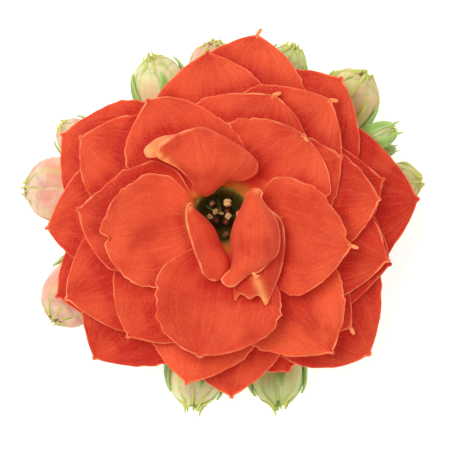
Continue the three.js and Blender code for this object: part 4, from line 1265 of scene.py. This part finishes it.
# %% [markdown]
# ## The buds' calyxes
#
# Four sepals clasp each bud: thick green tongues with a pale margin that follow the egg and lift a little
# at their tips. They are blades like the petals, only narrower and thicker. They rise from a small cup,
# which is turned like the tube.

# %% Surface of a sepal
CLEARANCE = 0.05  # between a sepal and the bud's petals
SEPAL_THICKNESS, SEPAL_MARGIN = 0.32, 0.45
SEPAL_CURL, SEPAL_LIFT = 0.05, 0.08  # how far its margins bend in, and its tip out


def bud_sepal(bud, centre, thickness, seed):
    """A sepal's surface, which follows the egg outside the petals."""

    def shape(side, length):
        share = bud.sepals * (1.03 * length - 0.03)
        narrow = np.clip(1.08 * (1 - length**2.5), 0.02, 1)
        turn = bud.spread * side * narrow * (1 + 0.05 * math.sin(seed))
        radius = bud.egg(np.clip(share, 0.02, 0.97)) * 1.05 + CLEARANCE + thickness * 0.5
        radius = radius - SEPAL_CURL * bud.scale * side**2 * narrow
        radius = radius + SEPAL_LIFT * bud.scale * smooth_step(0.8, 1, length)
        return bud.place(share, centre + turn, radius)

    return shape


def sepal_marks(side, length, edge, points):
    return 0.9 * (1 - smooth_step(0.03, 0.2, edge)), length, smooth_step(0.9, 1, length), np.zeros_like(side)


# %% Bud calyxes
CUP_RINGS = [  # shares of the rim's radius and of the bud's length
    (0.3, -0.09), (0.6, -0.085), (0.88, -0.03), (0.94, 0.005), (0.9, 0.02)]

for number, bud in enumerate(buds):
    thickness = SEPAL_THICKNESS * bud.scale
    sepals = [blade(8, 16, bud_sepal(bud, bud.roll + 90 * k, thickness, number + k), thickness, sepal_marks,
                    SEPAL_MARGIN) for k in range(4)]
    rim = float(bud.egg(np.array(0.02))) + CLEARANCE + 0.6 * bud.scale
    cup = bud.stand(turned([(rim * wide, bud.length * high) for wide, high in CUP_RINGS], 24))
    calyx = join([*sepals, toned(cup, 0)])
    settle(calyx, f"bud_{bud.name}_cup", [f"bud_{bud.name}_calyx"], "calyx", sepal_flesh)

# %% [markdown]
# ## The bloom's calyx and the stalk
#
# Both are hidden under the petals from above and are plain from the side: fleshy green limbs that flow
# into each other. They could be drawn again as curves, but their solids have the right course already. So
# each is copied, its loose triangles are merged, and it is remeshed finely and smoothed, which rounds the
# facets and blends the forks.


# %% Smoothed copies
MERGE = 0.001  # points of loose triangles closer than this are one


def delete_crumbs(piece):
    """Delete what isn't joined to the lowest point: crumbs that a remesh leaves loose."""
    lowest = min(piece.data.vertices, key=lambda point: point.co.z).index
    bpy.ops.object.mode_set(mode="EDIT")
    bpy.ops.mesh.select_mode(type="VERT")
    bpy.ops.mesh.select_all(action="DESELECT")
    bpy.ops.object.mode_set(mode="OBJECT")
    piece.data.vertices[lowest].select = True
    bpy.ops.object.mode_set(mode="EDIT")
    bpy.ops.mesh.select_linked()
    bpy.ops.mesh.select_all(action="INVERT")
    bpy.ops.mesh.delete(type="VERT")
    bpy.ops.object.mode_set(mode="OBJECT")


def smoothed(node, voxel, rounds):
    """A solid's copy, remeshed with voxels of that size and smoothed in so many rounds."""
    source = frame["nodes"][node]
    piece = source.copy()
    piece.data = source.data.copy()
    piece.parent = None
    for key in [key for key in piece.keys() if key.startswith("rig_")]:
        del piece[key]  # the copy isn't a node of the frame
    bpy.context.scene.collection.objects.link(piece)
    piece.data.transform(Matrix.Scale(PER_METRE, 4) @ Matrix.Translation(-AXIS))
    select_only(piece)
    bpy.ops.object.mode_set(mode="EDIT")
    bpy.ops.mesh.select_all(action="SELECT")
    bpy.ops.mesh.remove_doubles(threshold=MERGE)
    bpy.ops.object.mode_set(mode="OBJECT")
    apply(piece, "REMESH", mode="VOXEL", voxel_size=voxel)
    delete_crumbs(piece)
    apply(piece, "SMOOTH", factor=0.5, iterations=rounds)
    return toned(piece, 0)


settle(smoothed("stalk", 0.13, 6), "stalk_smooth", ["stalk"], "stalk", stalk_flesh)
settle(smoothed("bloom_calyx", 0.11, 5), "bloom_calyx_smooth", ["bloom_calyx"], "calyx", sepal_flesh)

# %% [markdown]
# ## Floor and light
#
# The photograph's ground is plain white without a shadow. A white floor under a bright even sky comes close:
# the floor is a little brighter than the picture can show, so soft shadows on it hardly do. One large
# lamp from the upper left gives the petals their form.

# %% Floor
FLOOR_SIZE, FLOOR_GAP = 3, 0.00002  # the floor is just below what lies on it

bpy.ops.object.select_all(action="DESELECT")
bpy.ops.mesh.primitive_plane_add(size=FLOOR_SIZE, location=(0, 0, solid_box[0].z - FLOOR_GAP))
floor = bpy.context.object
floor.name = "floor"
paper = Finish("white paper", 0.9, Emission_Color=(1, 1, 1, 1), Emission_Strength=0.6)
floor.data.materials.append(paper.colour((0.93, 0.93, 0.93)))
print("floor", FLOOR_SIZE, "m wide")

# %% Lights
LAMP_PLACE, LAMP_WIDTH, LAMP_POWER = (-0.09, 0.07, 0.32), 0.16, 0.66
SKY_STRENGTH = 0.54

lamp_data = bpy.data.lights.new("key lamp", "AREA")
lamp_data.shape, lamp_data.size, lamp_data.energy = "DISK", LAMP_WIDTH, LAMP_POWER
lamp = bpy.data.objects.new("key lamp", lamp_data)
lamp.location = AXIS + Vector(LAMP_PLACE)
lamp.rotation_euler = (picture_middle - lamp.location).to_track_quat("-Z", "Y").to_euler()
bpy.context.scene.collection.objects.link(lamp)

sky = bpy.data.worlds.new("sky")
sky.use_nodes = True
sky.node_tree.nodes["Background"].inputs["Color"].default_value = (1, 1, 1, 1)
sky.node_tree.nodes["Background"].inputs["Strength"].default_value = SKY_STRENGTH
bpy.context.scene.world = sky
bpy.context.scene.view_settings.view_transform = "Standard"
print("lamp", LAMP_POWER, "W, sky", SKY_STRENGTH)
